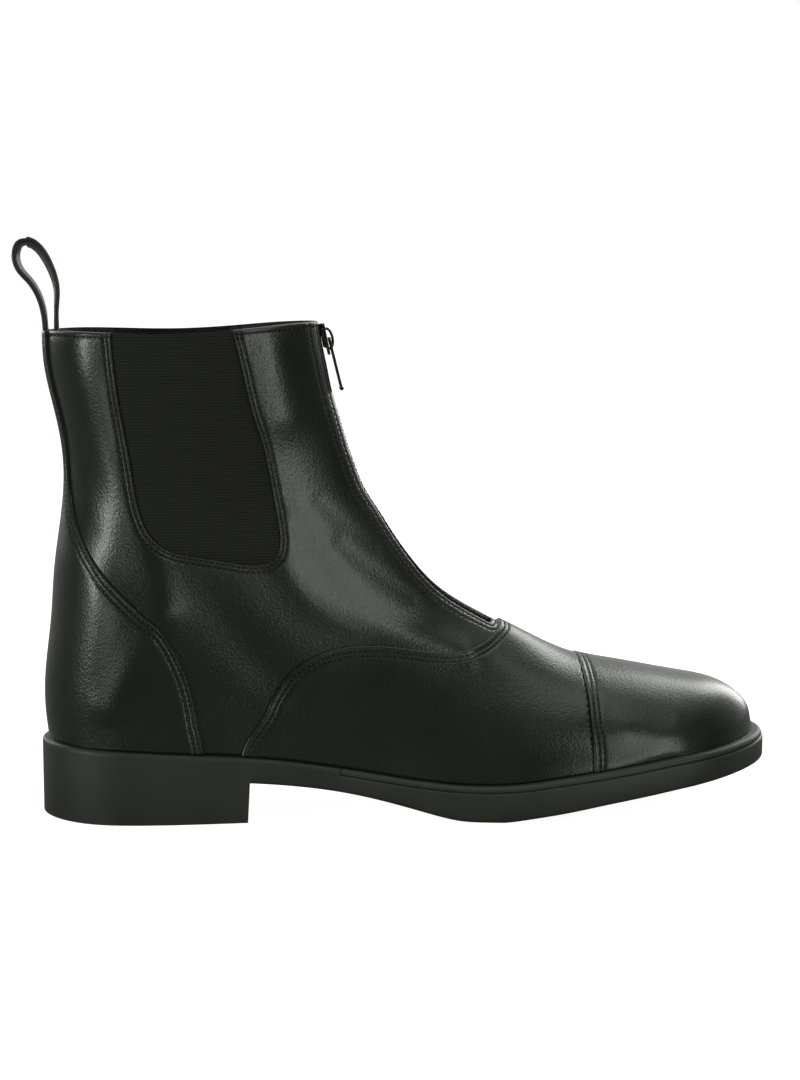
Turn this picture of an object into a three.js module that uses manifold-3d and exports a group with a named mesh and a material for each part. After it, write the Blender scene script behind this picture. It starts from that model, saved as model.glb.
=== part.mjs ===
// Paddock boot for the right foot: an ankle boot with elastic side gores, a front zip, a toe cap and a low heel.
// Millimetres, +X towards the toe, +Y towards the inner side of the foot, +Z up, the floor at z = 0.
import * as THREE from "three";
import { mergeVertices } from "three/addons/utils/BufferGeometryUtils.js";
import Module from "manifold-3d";

const wasm = await Module();
wasm.setup();

// Driving sizes of the last and the upper
const SOLE_LENGTH = 294;
const COLLAR_HEIGHT = 190.5;
const SEAT_HEIGHT = 30;
const BALL_WIDTH = 85.5;
const ANKLE_WIDTH = 57;
const COLLAR_WIDTH = 66;
const HEEL_ROUNDING = 18.5;
const COLLAR_ROUNDING = 25;
const COLLAR_DIP = 2.2;
const WALL = 2;
const PANEL = 1.2;
const CAP = 1.7;
const GAP = 0.3;

// Driving sizes of the sole
const HEEL_LENGTH = 81;
const BREAST_RAKE = 0.9;
const HEEL_RIM = 2.6;
const TOE_RIM = 5;
const RIM_LIP = 2.4;
const RIM_STEP = 0.6;
const RIM_GROOVE = 0.6;
const ARRIS = 1.6;
const CROWN = 0.8;
const CROWN_INSET = 9;
const INSOLE = 2.5;
const INSOLE_EASE = 1.6;

// Driving sizes of the zip, the gores and the pull loop
const ZIP_OPENING = 6.4;
const TAPE_WIDTH = 22;
const TAPE = 0.6;
const TEETH_WIDTH = 5.4;
const TEETH_PITCH = 3;
const TEETH_NOTCH = 0.7;
const TEETH_PROUD = 0.7;
const ELASTIC = 1.3;
const ELASTIC_SUNK = 0.5;
const SLIDER_DOWN = 7.4;
const SLIDER_LENGTH = 12.6;
const SLIDER_WIDTH = 7.6;
const SLIDER_PLATE = 0.8;
const SLIDER_NECK = 2.4;
const SLIDER_LEAN = 11.3;
const BRIDGE_LENGTH = 9;
const BRIDGE_WIDTH = 2.2;
const BRIDGE_BAR = 1;
const TAB_LENGTH = 21;
const TAB_WIDTH = 5;
const TAB_THICKNESS = 0.9;
const TAB_BEAD = 1.6;
const TAB_LEAN = 13.7;
const TAB_PLAY = 0.4;
const LOOP_WIDTH = 10;
const LOOP_BAND = 1.8;
const LOOP_HEIGHT = 34.6;
const LOOP_SPREAD = 17;
const LOOP_TUCK = 11;

// Back of the upper, collar to seat: share of collar height, share of sole length
const BACK = [
  [1.0, 0.0156],
  [0.93, 0.0177],
  [0.86, 0.0265],
  [0.782, 0.0367],
  [0.709, 0.0403],
  [0.609, 0.0344],
  [0.509, 0.0252],
  [0.408, 0.0197],
  [0.307, 0.0116],
  [0.231, 0.0095],
  [0.157, 0.014],
];

// Throat, instep ridge and toe, collar to feather: share of sole length, share of collar height
const FRONT = [
  [0.3782, 1.0157],
  [0.3827, 0.971],
  [0.3891, 0.924],
  [0.3963, 0.871],
  [0.4048, 0.826],
  [0.4143, 0.775],
  [0.4252, 0.725],
  [0.4384, 0.674],
  [0.4588, 0.623],
  [0.4796, 0.572],
  [0.5044, 0.5186],
  [0.535, 0.465],
  [0.5884, 0.407],
  [0.6497, 0.356],
  [0.7289, 0.299],
  [0.7867, 0.2793],
  [0.8548, 0.2583],
  [0.889, 0.2485],
  [0.92, 0.2385],
  [0.94, 0.2262],
  [0.957, 0.208],
  [0.9685, 0.1865],
  [0.9718, 0.1659],
  [0.9745, 0.146],
];

// Height of the seam between upper and sole: share of sole length, share of seat height
const FEATHER = [
  [0.0, 1.0],
  [0.075, 0.977],
  [0.15, 0.933],
  [0.218, 0.887],
  [0.27, 0.85],
  [0.33, 0.785],
  [0.39, 0.7],
  [0.43, 0.643],
  [0.47, 0.585],
  [0.51, 0.538],
  [0.55, 0.503],
  [0.59, 0.496],
  [0.63, 0.517],
  [0.68, 0.582],
  [0.73, 0.645],
  [0.79, 0.72],
  [0.86, 0.807],
  [0.93, 0.867],
  [1.0, 0.925],
];

// Underside of the sole in front of the heel: share of sole length, share of seat height
const TREAD = [
  [0.25, 0.505],
  [0.2755, 0.49],
  [0.34, 0.432],
  [0.41, 0.335],
  [0.47, 0.21],
  [0.52, 0.083],
  [0.555, 0.012],
  [0.575, 0.0],
  [0.61, 0.0],
  [0.643, 0.045],
  [0.69, 0.118],
  [0.738, 0.2],
  [0.806, 0.297],
  [0.874, 0.392],
  [0.935, 0.46],
  [1.0, 0.51],
];

// Half widths of the last at the feather: share of sole length, outer and inner side as shares of ball width
const PLAN = [
  [0.0, 0.316, 0.304],
  [0.1, 0.324, 0.312],
  [0.2, 0.333, 0.31],
  [0.3, 0.325, 0.275],
  [0.4, 0.342, 0.245],
  [0.5, 0.409, 0.29],
  [0.6, 0.474, 0.404],
  [0.65, 0.495, 0.462],
  [0.7, 0.497, 0.502],
  [0.75, 0.482, 0.514],
  [0.8, 0.453, 0.5],
  [0.85, 0.415, 0.47],
  [0.9, 0.375, 0.428],
  [0.975, 0.31, 0.352],
];

// Shaft: share of collar height, half width as a share of the ankle's, share of the flare to the collar
const SHAFT = [
  [0.157, 1.0, 0],
  [0.25, 1.075, 0],
  [0.4, 1.09, 0],
  [0.55, 1.04, 0],
  [0.7, 1.0, 0.05],
  [0.85, 1.0, 0.5],
  [1.0, 1.0, 1],
];

// Ridge of the instep towards the inner side: share of sole length, share of ball width
const RIDGE = [
  [0.0, 0.0],
  [0.4, 0.0],
  [0.55, 0.02],
  [0.7, 0.045],
  [0.85, 0.045],
  [1.0, 0.035],
];

// Sections fanned from back and feather to the ridge.
// Share of the back (0 to 1) and then of the feather (1 to 2), share of the front, two roundness powers
const FAN = [
  [0.0, 0.0, 2.3, 2.0],
  [0.283, 0.129, 2.2, 2.0],
  [0.452, 0.218, 2.1, 2.0],
  [0.614, 0.31, 2.0, 2.0],
  [0.776, 0.382, 1.9, 2.0],
  [0.907, 0.425, 1.85, 2.0],
  [1.0, 0.45, 1.8, 2.0],
  [1.07, 0.468, 1.75, 2.0],
  [1.167, 0.493, 1.7, 2.0],
  [1.272, 0.522, 1.65, 2.0],
  [1.394, 0.555, 1.65, 1.95],
  [1.515, 0.595, 1.7, 1.9],
  [1.628, 0.645, 1.8, 1.9],
  [1.717, 0.697, 1.9, 1.95],
  [1.798, 0.765, 2.0, 2.0],
  [1.859, 0.83, 2.05, 2.05],
  [1.911, 0.89, 2.05, 2.05],
  [1.95, 0.94, 2.05, 2.05],
  [1.98, 0.975, 2.05, 2.05],
  [2.0, 1.0, 2.05, 2.05],
];
const FEATHER_END = 0.85;
const DEPTH_STATIONS = [0, 0.3, 0.6, 0.8, 1.25, 1.5, 1.75, 1.9, 2];
const FOOT_BLEND = [0.19, 0.5];

// Side view of the gore: share of sole length, share of collar height
const GORE = [
  [0.1, 1.06],
  [0.1027, 0.997],
  [0.1102, 0.874],
  [0.1265, 0.722],
  [0.1371, 0.634],
  [0.1497, 0.591],
  [0.1711, 0.562],
  [0.2061, 0.547],
  [0.2503, 0.534],
  [0.2959, 0.5265],
  [0.3102, 0.5344],
  [0.3194, 0.567],
  [0.3184, 0.6016],
  [0.3085, 0.691],
  [0.2973, 0.774],
  [0.2847, 0.834],
  [0.2735, 0.91],
  [0.26, 1.0],
  [0.254, 1.06],
];

// Side view of the counter's front edge with the strap up the back: the same shares
const COUNTER = [
  [0.0201, 1.06],
  [0.0201, 1.0],
  [0.0222, 0.93],
  [0.031, 0.86],
  [0.0412, 0.782],
  [0.0448, 0.709],
  [0.0475, 0.66],
  [0.053, 0.615],
  [0.0645, 0.569],
  [0.0854, 0.518],
  [0.1119, 0.4724],
  [0.1401, 0.43],
  [0.1619, 0.3995],
  [0.1772, 0.362],
  [0.1898, 0.3186],
  [0.2024, 0.2556],
  [0.2085, 0.1995],
  [0.2153, 0.149],
  [0.218, 0.1],
];

// Side view of the vamp's top edge, feather to throat: the same shares
const VAMP = [
  [0.26, 0.1],
  [0.2646, 0.138],
  [0.2769, 0.1785],
  [0.2939, 0.2126],
  [0.3044, 0.2467],
  [0.3177, 0.279],
  [0.3333, 0.3076],
  [0.3622, 0.3344],
  [0.3939, 0.35],
  [0.4306, 0.3533],
  [0.4745, 0.347],
  [0.5303, 0.333],
  [0.5629, 0.3318],
  [0.5901, 0.3423],
  [0.6129, 0.3633],
  [0.6211, 0.3738],
  [0.6195, 0.398],
  [0.6139, 0.42],
];

// Side view of the toe cap's edge, ridge to feather: the same shares
const CAP_EDGE = [
  [0.731, 0.36],
  [0.731, 0.318],
  [0.7306, 0.298],
  [0.73, 0.267],
  [0.7296, 0.2425],
  [0.7286, 0.197],
  [0.7286, 0.1375],
  [0.728, 0.06],
];

// Side of the sole below its top: depth, inset where it is grooved, inset where it is plain
const RIM_PROFILE = [
  [0, 2.4, 0.9],
  [0.4, 1.5, 0.35],
  [1, 0.9, 0.1],
  [RIM_LIP - 0.5, RIM_STEP, 0],
  [RIM_LIP - 0.1, RIM_STEP + RIM_GROOVE, 0],
  [RIM_LIP + 0.3, RIM_STEP / 2, 0],
  [RIM_LIP + 1, 0, 0],
];
const GROOVE_START = 0.398;
const FOREFOOT_FLAT = [0.575, 0.61];

// Outline of the pull loop from the top of the back: share of its spread forwards, share of its height
const LOOP = [
  [-0.05, 0.012],
  [-0.075, 0.17],
  [-0.165, 0.35],
  [-0.372, 0.53],
  [-0.578, 0.65],
  [-0.678, 0.795],
  [-0.66, 0.893],
  [-0.578, 0.971],
  [-0.443, 1.0],
  [-0.278, 0.99],
  [-0.049, 0.905],
  [0.157, 0.737],
  [0.275, 0.584],
  [0.325, 0.439],
  [0.315, 0.275],
  [0.306, 0.139],
  [0.306, 0.012],
];
const LOOP_NECK = 0.17;

const leather = new THREE.MeshStandardMaterial({ color: 0x232723, roughness: 0.42, metalness: 0 });
const elastic = new THREE.MeshStandardMaterial({ color: 0x161614, roughness: 0.95, metalness: 0 });
const rubber = new THREE.MeshStandardMaterial({ color: 0x282b28, roughness: 0.6, metalness: 0 });
const webbing = new THREE.MeshStandardMaterial({ color: 0x191a18, roughness: 0.85, metalness: 0 });
const metal = new THREE.MeshStandardMaterial({ color: 0x2e302f, roughness: 0.35, metalness: 0.9 });
const lining = new THREE.MeshStandardMaterial({ color: 0x1d1f1d, roughness: 0.8, metalness: 0 });

// A natural cubic spline of one column of a table against its first column.
function splineOf(rows, column) {
  const x = rows.map((row) => row[0]);
  const y = rows.map((row) => row[column]);
  const sweep = x.map(() => 0);
  const bend = x.map(() => 0);
  for (let i = 1; i < x.length - 1; i++) {
    const share = (x[i] - x[i - 1]) / (x[i + 1] - x[i - 1]);
    const pivot = share * bend[i - 1] + 2;
    const rise = (y[i + 1] - y[i]) / (x[i + 1] - x[i]) - (y[i] - y[i - 1]) / (x[i] - x[i - 1]);
    bend[i] = (share - 1) / pivot;
    sweep[i] = ((6 * rise) / (x[i + 1] - x[i - 1]) - share * sweep[i - 1]) / pivot;
  }
  for (let i = x.length - 2; i >= 0; i--) bend[i] = bend[i] * bend[i + 1] + sweep[i];
  return (at) => {
    let i = x.findIndex((knot) => knot > at) - 1;
    if (i === -2) i = x.length - 2;
    i = THREE.MathUtils.clamp(i, 0, x.length - 2);
    const step = x[i + 1] - x[i];
    const a = (x[i + 1] - at) / step;
    const b = 1 - a;
    const curl = ((a ** 3 - a) * bend[i] + (b ** 3 - b) * bend[i + 1]) * (step ** 2 / 6);
    return a * y[i] + b * y[i + 1] + curl;
  };
}

// A smooth path through side view points [x, z], by its share from 0 to 1.
function pathThrough(points) {
  let run = 0;
  const marks = points.map((point, i) => {
    if (i > 0) run += Math.hypot(point[0] - points[i - 1][0], point[1] - points[i - 1][1]);
    return [run, point[0], point[1]];
  });
  const x = splineOf(marks, 1);
  const z = splineOf(marks, 2);
  return Object.assign((share) => [x(share * run), z(share * run)], { run });
}

const sideView = ([length, height]) => [length * SOLE_LENGTH, height * COLLAR_HEIGHT];

const backAt = splineOf([...BACK].reverse(), 1);
const backX = (z) => SOLE_LENGTH * backAt(z / COLLAR_HEIGHT);
const frontPath = pathThrough(FRONT.map(sideView));
const featherAt = splineOf(FEATHER, 1);
const featherZ = (x) => SEAT_HEIGHT * featherAt(x / SOLE_LENGTH);
const treadAt = splineOf(TREAD, 1);
const outerPlan = splineOf(PLAN, 1);
const innerPlan = splineOf(PLAN, 2);
const shaftShare = splineOf(SHAFT, 1);
const shaftFlare = splineOf(SHAFT, 2);
const ridgeAt = splineOf(RIDGE, 1);
const fanFront = splineOf(FAN, 1);
const fanFirst = splineOf(FAN, 2);
const fanSecond = splineOf(FAN, 3);

const SEAT_BACK = backX(SEAT_HEIGHT);
const FEATHER_X = FEATHER_END * SOLE_LENGTH;

// Lower end of a section: on the back of the upper, then along the feather.
function footOf(run) {
  if (run <= 1) {
    const z = THREE.MathUtils.lerp(COLLAR_HEIGHT, SEAT_HEIGHT + GAP, run);
    return [backX(z), z];
  }
  const x = THREE.MathUtils.lerp(SEAT_BACK, FEATHER_X, run - 1);
  return [x, featherZ(x) + GAP];
}

// Depth of the sections from their lower end to the ridge, carried smoothly past the corner at the heel.
const depthAt = splineOf(
  DEPTH_STATIONS.map((run) => {
    const [foot, top] = [footOf(run), frontPath(fanFront(run))];
    return [run, Math.hypot(top[0] - foot[0], top[1] - foot[1])];
  }),
  1,
);

// Rise of the feather over the straight line between the ends of the last section.
function aboveLastChord(x) {
  const [[x0, z0], [x1, z1]] = [footOf(2), frontPath(1)];
  const at = Math.max(x, x0);
  return featherZ(at) + GAP - THREE.MathUtils.mapLinear(at, x0, x1, z0, z1);
}

// Half width of the last, before the rounding of its back and its ridge.
function lastHalfWidth(x, z, side) {
  const plan = BALL_WIDTH * (side < 0 ? outerPlan : innerPlan)(x / SOLE_LENGTH);
  const height = z / COLLAR_HEIGHT;
  const flare = (shaftFlare(height) * (COLLAR_WIDTH - ANKLE_WIDTH)) / 2;
  const shaft = (ANKLE_WIDTH / 2) * shaftShare(height) + flare;
  return THREE.MathUtils.lerp(plan, shaft, THREE.MathUtils.smoothstep(height, ...FOOT_BLEND));
}

// Point of the upper's outer face. The turn runs 0 to 1 up the outer side and 1 to 2 down the inner one.
function upperPoint(run, turn) {
  const side = turn < 1 ? -1 : 1;
  const across = turn < 1 ? turn : 2 - turn;
  const closed = 1 - THREE.MathUtils.smoothstep(run, 1, 1.25);
  const along = THREE.MathUtils.lerp(
    Math.sin((Math.PI / 2) * across),
    (1 - Math.cos(Math.PI * across)) / 2,
    closed,
  );
  const foot = footOf(run);
  const top = frontPath(fanFront(run));
  const x = THREE.MathUtils.lerp(foot[0], top[0], along);
  const sag = COLLAR_DIP * Math.sin(Math.PI * along) ** 2 * (1 - THREE.MathUtils.smoothstep(run, 0, 0.35));
  const level = THREE.MathUtils.smoothstep(run, 1.7, 2) * aboveLastChord(x);
  const z = THREE.MathUtils.lerp(foot[1], top[1], along) - sag + level;
  const rounding = THREE.MathUtils.mapLinear(z, SEAT_HEIGHT, COLLAR_HEIGHT, HEEL_ROUNDING, COLLAR_ROUNDING);
  const behind = Math.max(x - backX(z + sag), 0);
  const back = (1 - Math.exp(-((behind / rounding) ** 2))) ** 0.25;
  const away = (1 - along) * Math.hypot(top[0] - foot[0], top[1] - foot[1]);
  const inward = Math.max(1 - away / depthAt(run), 0);
  const front = Math.max(1 - inward ** fanFirst(run), 0) ** (1 / fanSecond(run));
  const ridge = BALL_WIDTH * ridgeAt(x / SOLE_LENGTH);
  const half = (lastHalfWidth(x, z, side) - side * ridge) * back * front;
  return new THREE.Vector3(x, ridge + side * half, z);
}

// Rows of sections, closer together round the heel and the toe.
function sectionRuns(shaftRows, footRows) {
  const runs = [];
  for (let i = 0; i < shaftRows; i++) runs.push(i / shaftRows);
  for (let i = 0; i <= footRows; i++) {
    runs.push(1 + (1 - Math.cos((Math.PI * i) / footRows)) / 2);
  }
  return runs;
}

const SHAFT_ROWS = 10;
const FOOT_ROWS = 18;
const TURNS = 26;

// One skin of the upper, moved out from the last by an offset, but level at the collar and at the feather.
function upperSkin(offset, runs) {
  const points = [];
  const at = (i, j) => i * (TURNS + 1) + j;
  for (const run of runs) {
    for (let j = 0; j <= TURNS; j++) points.push(upperPoint(run, (2 * j) / TURNS));
  }
  const normals = points.map(() => new THREE.Vector3());
  const faces = [];
  const addFace = (a, b, c) => {
    const normal = new THREE.Vector3().crossVectors(
      points[b].clone().sub(points[a]),
      points[c].clone().sub(points[a]),
    );
    if (normal.lengthSq() < 1e-12) return;
    for (const corner of [a, b, c]) normals[corner].add(normal);
    faces.push([a, b, c]);
  };
  for (let i = 0; i < runs.length - 1; i++) {
    for (let j = 0; j < TURNS; j++) {
      const [a, b, c, d] = [at(i, j), at(i + 1, j), at(i + 1, j + 1), at(i, j + 1)];
      const shorter = points[a].distanceTo(points[c]) < points[b].distanceTo(points[d]);
      addFace(a, b, shorter ? c : d);
      addFace(shorter ? a : b, c, d);
    }
  }
  runs.forEach((run, i) => {
    if (run > 1) return;
    const both = normals[at(i, 0)].clone().add(normals[at(i, TURNS)]);
    normals[at(i, 0)].copy(both);
    normals[at(i, TURNS)].copy(both);
  });
  return {
    at,
    faces,
    points: points.map((point, index) => {
      const normal = normals[index].clone();
      const standing = point.z - featherZ(point.x) - GAP;
      normal.z *= index <= TURNS ? 0 : THREE.MathUtils.smoothstep(standing, 0, 2 * WALL);
      return point.clone().addScaledVector(normal.normalize(), offset);
    }),
  };
}

// Closed shell of the upper between two offsets from the last.
function upperShell(inner, outer) {
  const runs = sectionRuns(SHAFT_ROWS, FOOT_ROWS);
  const skins = [upperSkin(outer, runs), upperSkin(inner, runs)];
  const corners = [];
  const put = (point) => corners.push(point.x, point.y, point.z);
  const face = (a, b, c) => [a, b, c].forEach(put);
  skins[0].faces.forEach(([a, b, c]) => face(...[a, b, c].map((k) => skins[0].points[k])));
  skins[1].faces.forEach(([a, b, c]) => face(...[a, c, b].map((k) => skins[1].points[k])));
  const { at } = skins[0];
  const rim = [];
  const last = runs.length - 1;
  const heelRow = runs.indexOf(1);
  for (let j = 0; j < TURNS; j++) rim.push([at(0, j), at(0, j + 1)]);
  for (let i = heelRow; i < last; i++) rim.push([at(i + 1, 0), at(i, 0)]);
  for (let j = TURNS; j > 0; j--) rim.push([at(last, j), at(last, j - 1)]);
  for (let i = last; i > heelRow; i--) rim.push([at(i - 1, TURNS), at(i, TURNS)]);
  for (const [a, b] of rim) {
    const [p, q] = [skins[0].points[a], skins[0].points[b]];
    const [r, s] = [skins[1].points[a], skins[1].points[b]];
    face(p, q, s);
    face(p, s, r);
  }
  const shell = new THREE.BufferGeometry();
  shell.setAttribute("position", new THREE.Float32BufferAttribute(corners, 3));
  return solidOf(shell);
}

// A geometry as a solid that can be joined and cut.
function solidOf(geometry) {
  const bare = geometry.index ? geometry.toNonIndexed() : geometry.clone();
  bare.deleteAttribute("normal");
  bare.deleteAttribute("uv");
  const merged = mergeVertices(bare, 1e-3);
  const triVerts = [];
  const { array } = merged.index;
  for (let i = 0; i < array.length; i += 3) {
    const [a, b, c] = array.slice(i, i + 3);
    if (a !== b && b !== c && c !== a) triVerts.push(a, b, c);
  }
  const mesh = new wasm.Mesh({
    numProp: 3,
    vertProperties: merged.attributes.position.array,
    triVerts: new Uint32Array(triVerts),
  });
  return new wasm.Manifold(mesh);
}

// The largest body of a solid, as a named mesh.
function meshOf(name, solid, material) {
  const bodies = solid.decompose().sort((a, b) => b.volume() - a.volume());
  const cut = bodies[0].getMesh();
  const geometry = new THREE.BufferGeometry();
  geometry.setAttribute("position", new THREE.Float32BufferAttribute(cut.vertProperties, 3));
  geometry.setIndex([...cut.triVerts]);
  const mesh = new THREE.Mesh(geometry, material);
  mesh.name = name;
  return mesh;
}

// A side view outline of [x, z] points, extruded across the boot between two places.
function acrossFrom(outline, from, to) {
  const shape = new THREE.Shape(outline.map(([x, z]) => new THREE.Vector2(x, z)));
  const block = new THREE.ExtrudeGeometry(shape, { depth: to - from, bevelEnabled: false });
  return solidOf(block.rotateX(Math.PI / 2).translate(0, to, 0));
}

// Points along a side view seam.
function seamPoints(table, steps) {
  const path = pathThrough(table.map(sideView));
  return Array.from({ length: steps + 1 }, (_, i) => path(i / steps));
}

// An outline moved in or out along its own normals, counter-clockwise outlines outwards.
function movedOutline(outline, distance) {
  return outline.map((point, i) => {
    const before = outline[(i + outline.length - 1) % outline.length];
    const after = outline[(i + 1) % outline.length];
    const along = new THREE.Vector2(after[0] - before[0], after[1] - before[1]).normalize();
    return [point[0] + along.y * distance, point[1] - along.x * distance];
  });
}

// Well past the boot on every side, for the ends of the cutting outlines.
const WIDE = COLLAR_WIDTH + BALL_WIDTH;
const AHEAD = SOLE_LENGTH + WIDE;
const THROAT_END = 0.5445;

// Strip along the front path between two depths outside it, as a side view outline.
function frontStrip(from, to, outside, inside, steps) {
  const rows = Array.from({ length: steps + 1 }, (_, i) => frontFrame(THREE.MathUtils.lerp(from, to, i / steps)));
  const shifted = (depth) => rows.map(({ here, out }) => [here[0] + out[0] * depth, here[1] + out[1] * depth]);
  return [...shifted(outside), ...shifted(inside).reverse()];
}

// Place and outward direction on the front path.
function frontFrame(share) {
  const here = frontPath(share);
  const next = frontPath(share + 0.002);
  const along = new THREE.Vector2(next[0] - here[0], next[1] - here[1]).normalize();
  return { here, out: [-along.y, along.x] };
}

function makeUpper() {
  const gores = acrossFrom(seamPoints(GORE, 40), -WIDE, WIDE);
  const slot = frontStrip(-0.04, THROAT_END, 4 * WALL, -5 * WALL, 24);
  const throat = acrossFrom(slot, -ZIP_OPENING / 2, ZIP_OPENING / 2);
  return meshOf("upper", upperShell(-WALL, 0).subtract(gores).subtract(throat), leather);
}

// An elastic gore fills its opening in the upper, sunk a little below the leather.
function makeGore(name, side) {
  const shell = upperShell(-ELASTIC_SUNK - ELASTIC, -ELASTIC_SUNK);
  const window = movedOutline(seamPoints(GORE, 40), -GAP);
  const span = side < 0 ? [-WIDE, 0] : [0, WIDE];
  return meshOf(name, shell.intersect(acrossFrom(window, ...span)), elastic);
}

// Everything behind the counter's edge, down to the feather.
function makeCounter() {
  const edge = seamPoints(COUNTER, 40);
  const outline = [...edge, [-WIDE, edge.at(-1)[1]], [-WIDE, edge[0][1]]];
  return meshOf("heel_counter", upperShell(GAP, GAP + PANEL).intersect(acrossFrom(outline, -WIDE, WIDE)), leather);
}

// The vamp runs from its top edge to the toe cap.
function makeVamp() {
  const front = seamPoints(CAP_EDGE, 12).map(([x, z]) => [x - GAP, z]);
  const outline = [...seamPoints(VAMP, 36), ...front];
  return meshOf("vamp", upperShell(GAP, GAP + PANEL).intersect(acrossFrom(outline, -WIDE, WIDE)), leather);
}

function makeToeCap() {
  const edge = seamPoints(CAP_EDGE, 12);
  const outline = [...edge, [AHEAD, edge.at(-1)[1]], [AHEAD, edge[0][1]]];
  return meshOf("toe_cap", upperShell(GAP, GAP + CAP).intersect(acrossFrom(outline, -WIDE, WIDE)), leather);
}

// Plan of the last at the feather, station by station, as distances to its outer and inner side.
function planRows(stations) {
  const tip = frontPath(1)[0];
  const half = (x, side) => {
    const width = BALL_WIDTH * (side < 0 ? outerPlan : innerPlan)(x / SOLE_LENGTH);
    const ridge = BALL_WIDTH * ridgeAt(x / SOLE_LENGTH);
    const back = (1 - Math.exp(-((Math.max(x - SEAT_BACK, 0) / HEEL_ROUNDING) ** 2))) ** 0.25;
    const share = THREE.MathUtils.clamp((x - FEATHER_X) / (tip - FEATHER_X), 0, 1);
    const front = (1 - share ** fanFirst(2)) ** (1 / fanSecond(2));
    return ridge + side * (width - side * ridge) * back * front;
  };
  return stations.map((x) => ({ x, outer: half(x, -1), inner: half(x, 1) }));
}

// Distance of the sole's edge outside the last, heel to toe.
function rimAt(x) {
  const share = THREE.MathUtils.smoothstep(x / SOLE_LENGTH, 0.25, 0.95);
  return GAP + PANEL + THREE.MathUtils.lerp(HEEL_RIM, TOE_RIM, share);
}

// Stations along the sole: close together at both ends, in pairs at the breast and where the groove starts.
function soleStations(steps, pairs) {
  const tip = frontPath(1)[0];
  const spread = Array.from({ length: steps + 1 }, (_, i) =>
    THREE.MathUtils.lerp(SEAT_BACK, tip, (1 - Math.cos((Math.PI * i) / steps)) / 2),
  );
  const clear = (x) => pairs.every((pair) => x < pair[0] - 2 || x > pair[1] + 2);
  return [...spread.filter(clear), ...pairs.flat()].sort((a, b) => a - b);
}

// Ring of points round the plan, each with its station and its outward direction.
function planRing(stations) {
  const rows = planRows(stations);
  const outer = rows.map(({ x, outer: y }) => new THREE.Vector2(x, y));
  const inner = rows.map(({ x, inner: y }) => new THREE.Vector2(x, y));
  const ring = [...outer, ...inner.slice(1, -1).reverse()];
  return ring.map((point, i) => {
    const before = ring[(i + ring.length - 1) % ring.length];
    const after = ring[(i + 1) % ring.length];
    const along = after.clone().sub(before).normalize();
    return { point, out: new THREE.Vector2(along.y, -along.x) };
  });
}

// Closed solid from rings of points, lowest first, closed at both ends by strips across the plan.
function ringSolid(rings) {
  const corners = [];
  const face = (...points) => points.forEach((p) => corners.push(p.x, p.y, p.z));
  const count = rings[0].length;
  for (let k = 0; k < rings.length - 1; k++) {
    for (let i = 0; i < count; i++) {
      const next = (i + 1) % count;
      face(rings[k][i], rings[k][next], rings[k + 1][next]);
      face(rings[k][i], rings[k + 1][next], rings[k + 1][i]);
    }
  }
  const strip = (ring, up) => {
    for (let i = 0; i < count / 2; i++) {
      const [a, b] = [ring[i], ring[i + 1]];
      const [c, d] = [ring[count - i - 1], ring[(count - i) % count]];
      face(...(up ? [a, b, c] : [a, c, b]));
      face(...(up ? [a, c, d] : [a, d, c]));
    }
  };
  strip(rings[0], false);
  strip(rings.at(-1), true);
  const geometry = new THREE.BufferGeometry();
  geometry.setAttribute("position", new THREE.Float32BufferAttribute(corners, 3));
  return solidOf(geometry);
}

// Underside of the sole: the heel stands on the floor, and the forefoot touches it at the ball.
function undersideZ(x) {
  if (x < HEEL_LENGTH) return 0;
  return SEAT_HEIGHT * Math.max(treadAt(x / SOLE_LENGTH), 0);
}

// Sole and heel moulded in one, with a grooved rim in front of the waist.
function makeSole() {
  const grooveStart = GROOVE_START * SOLE_LENGTH;
  const pairs = [
    [HEEL_LENGTH - BREAST_RAKE, HEEL_LENGTH],
    [grooveStart - BREAST_RAKE, grooveStart],
    FOREFOOT_FLAT.map((share) => share * SOLE_LENGTH),
  ];
  const ring = planRing(soleStations(34, pairs));
  const level = (inset, height) =>
    ring.map(({ point, out }) => {
      const reach = rimAt(point.x) - inset(point.x);
      return new THREE.Vector3(point.x + out.x * reach, point.y + out.y * reach, height(point.x));
    });
  const arris = (x) => (x < HEEL_LENGTH ? ARRIS / 4 : ARRIS);
  const edgeZ = (x) => undersideZ(x) + (x < HEEL_LENGTH ? 0 : CROWN);
  const rings = [
    level(() => CROWN_INSET, undersideZ),
    level(arris, edgeZ),
    level((x) => arris(x) / 4, (x) => edgeZ(x) + arris(x) / 3),
    level(() => 0, (x) => edgeZ(x) + arris(x)),
  ];
  for (const [depth, grooved, plain] of [...RIM_PROFILE].reverse()) {
    const inset = (x) => (x < grooveStart ? plain : grooved);
    rings.push(level(inset, (x) => featherZ(x) - depth));
  }
  return meshOf("sole_unit", ringSolid(rings), rubber);
}

// Insole board inside the upper, lying on the sole.
function makeInsole() {
  const ring = planRing(soleStations(26, []));
  const inset = WALL + INSOLE_EASE;
  const level = (height) =>
    ring.map(({ point, out }) => {
      const x = point.x - out.x * inset;
      return new THREE.Vector3(x, point.y - out.y * inset, featherZ(x) + height);
    });
  return meshOf("insole", ringSolid([level(GAP), level(GAP + INSOLE)]), lining);
}

// Tape of the zip, lying inside the upper behind the throat.
function makeZipTape() {
  const shell = upperShell(-WALL - GAP - TAPE, -WALL - GAP);
  const strip = frontStrip(0.006, THROAT_END, 2 * WALL, -TAPE_WIDTH, 24);
  return meshOf("zip_tape", shell.intersect(acrossFrom(strip, -TAPE_WIDTH / 2, TAPE_WIDTH / 2)), webbing);
}

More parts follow.
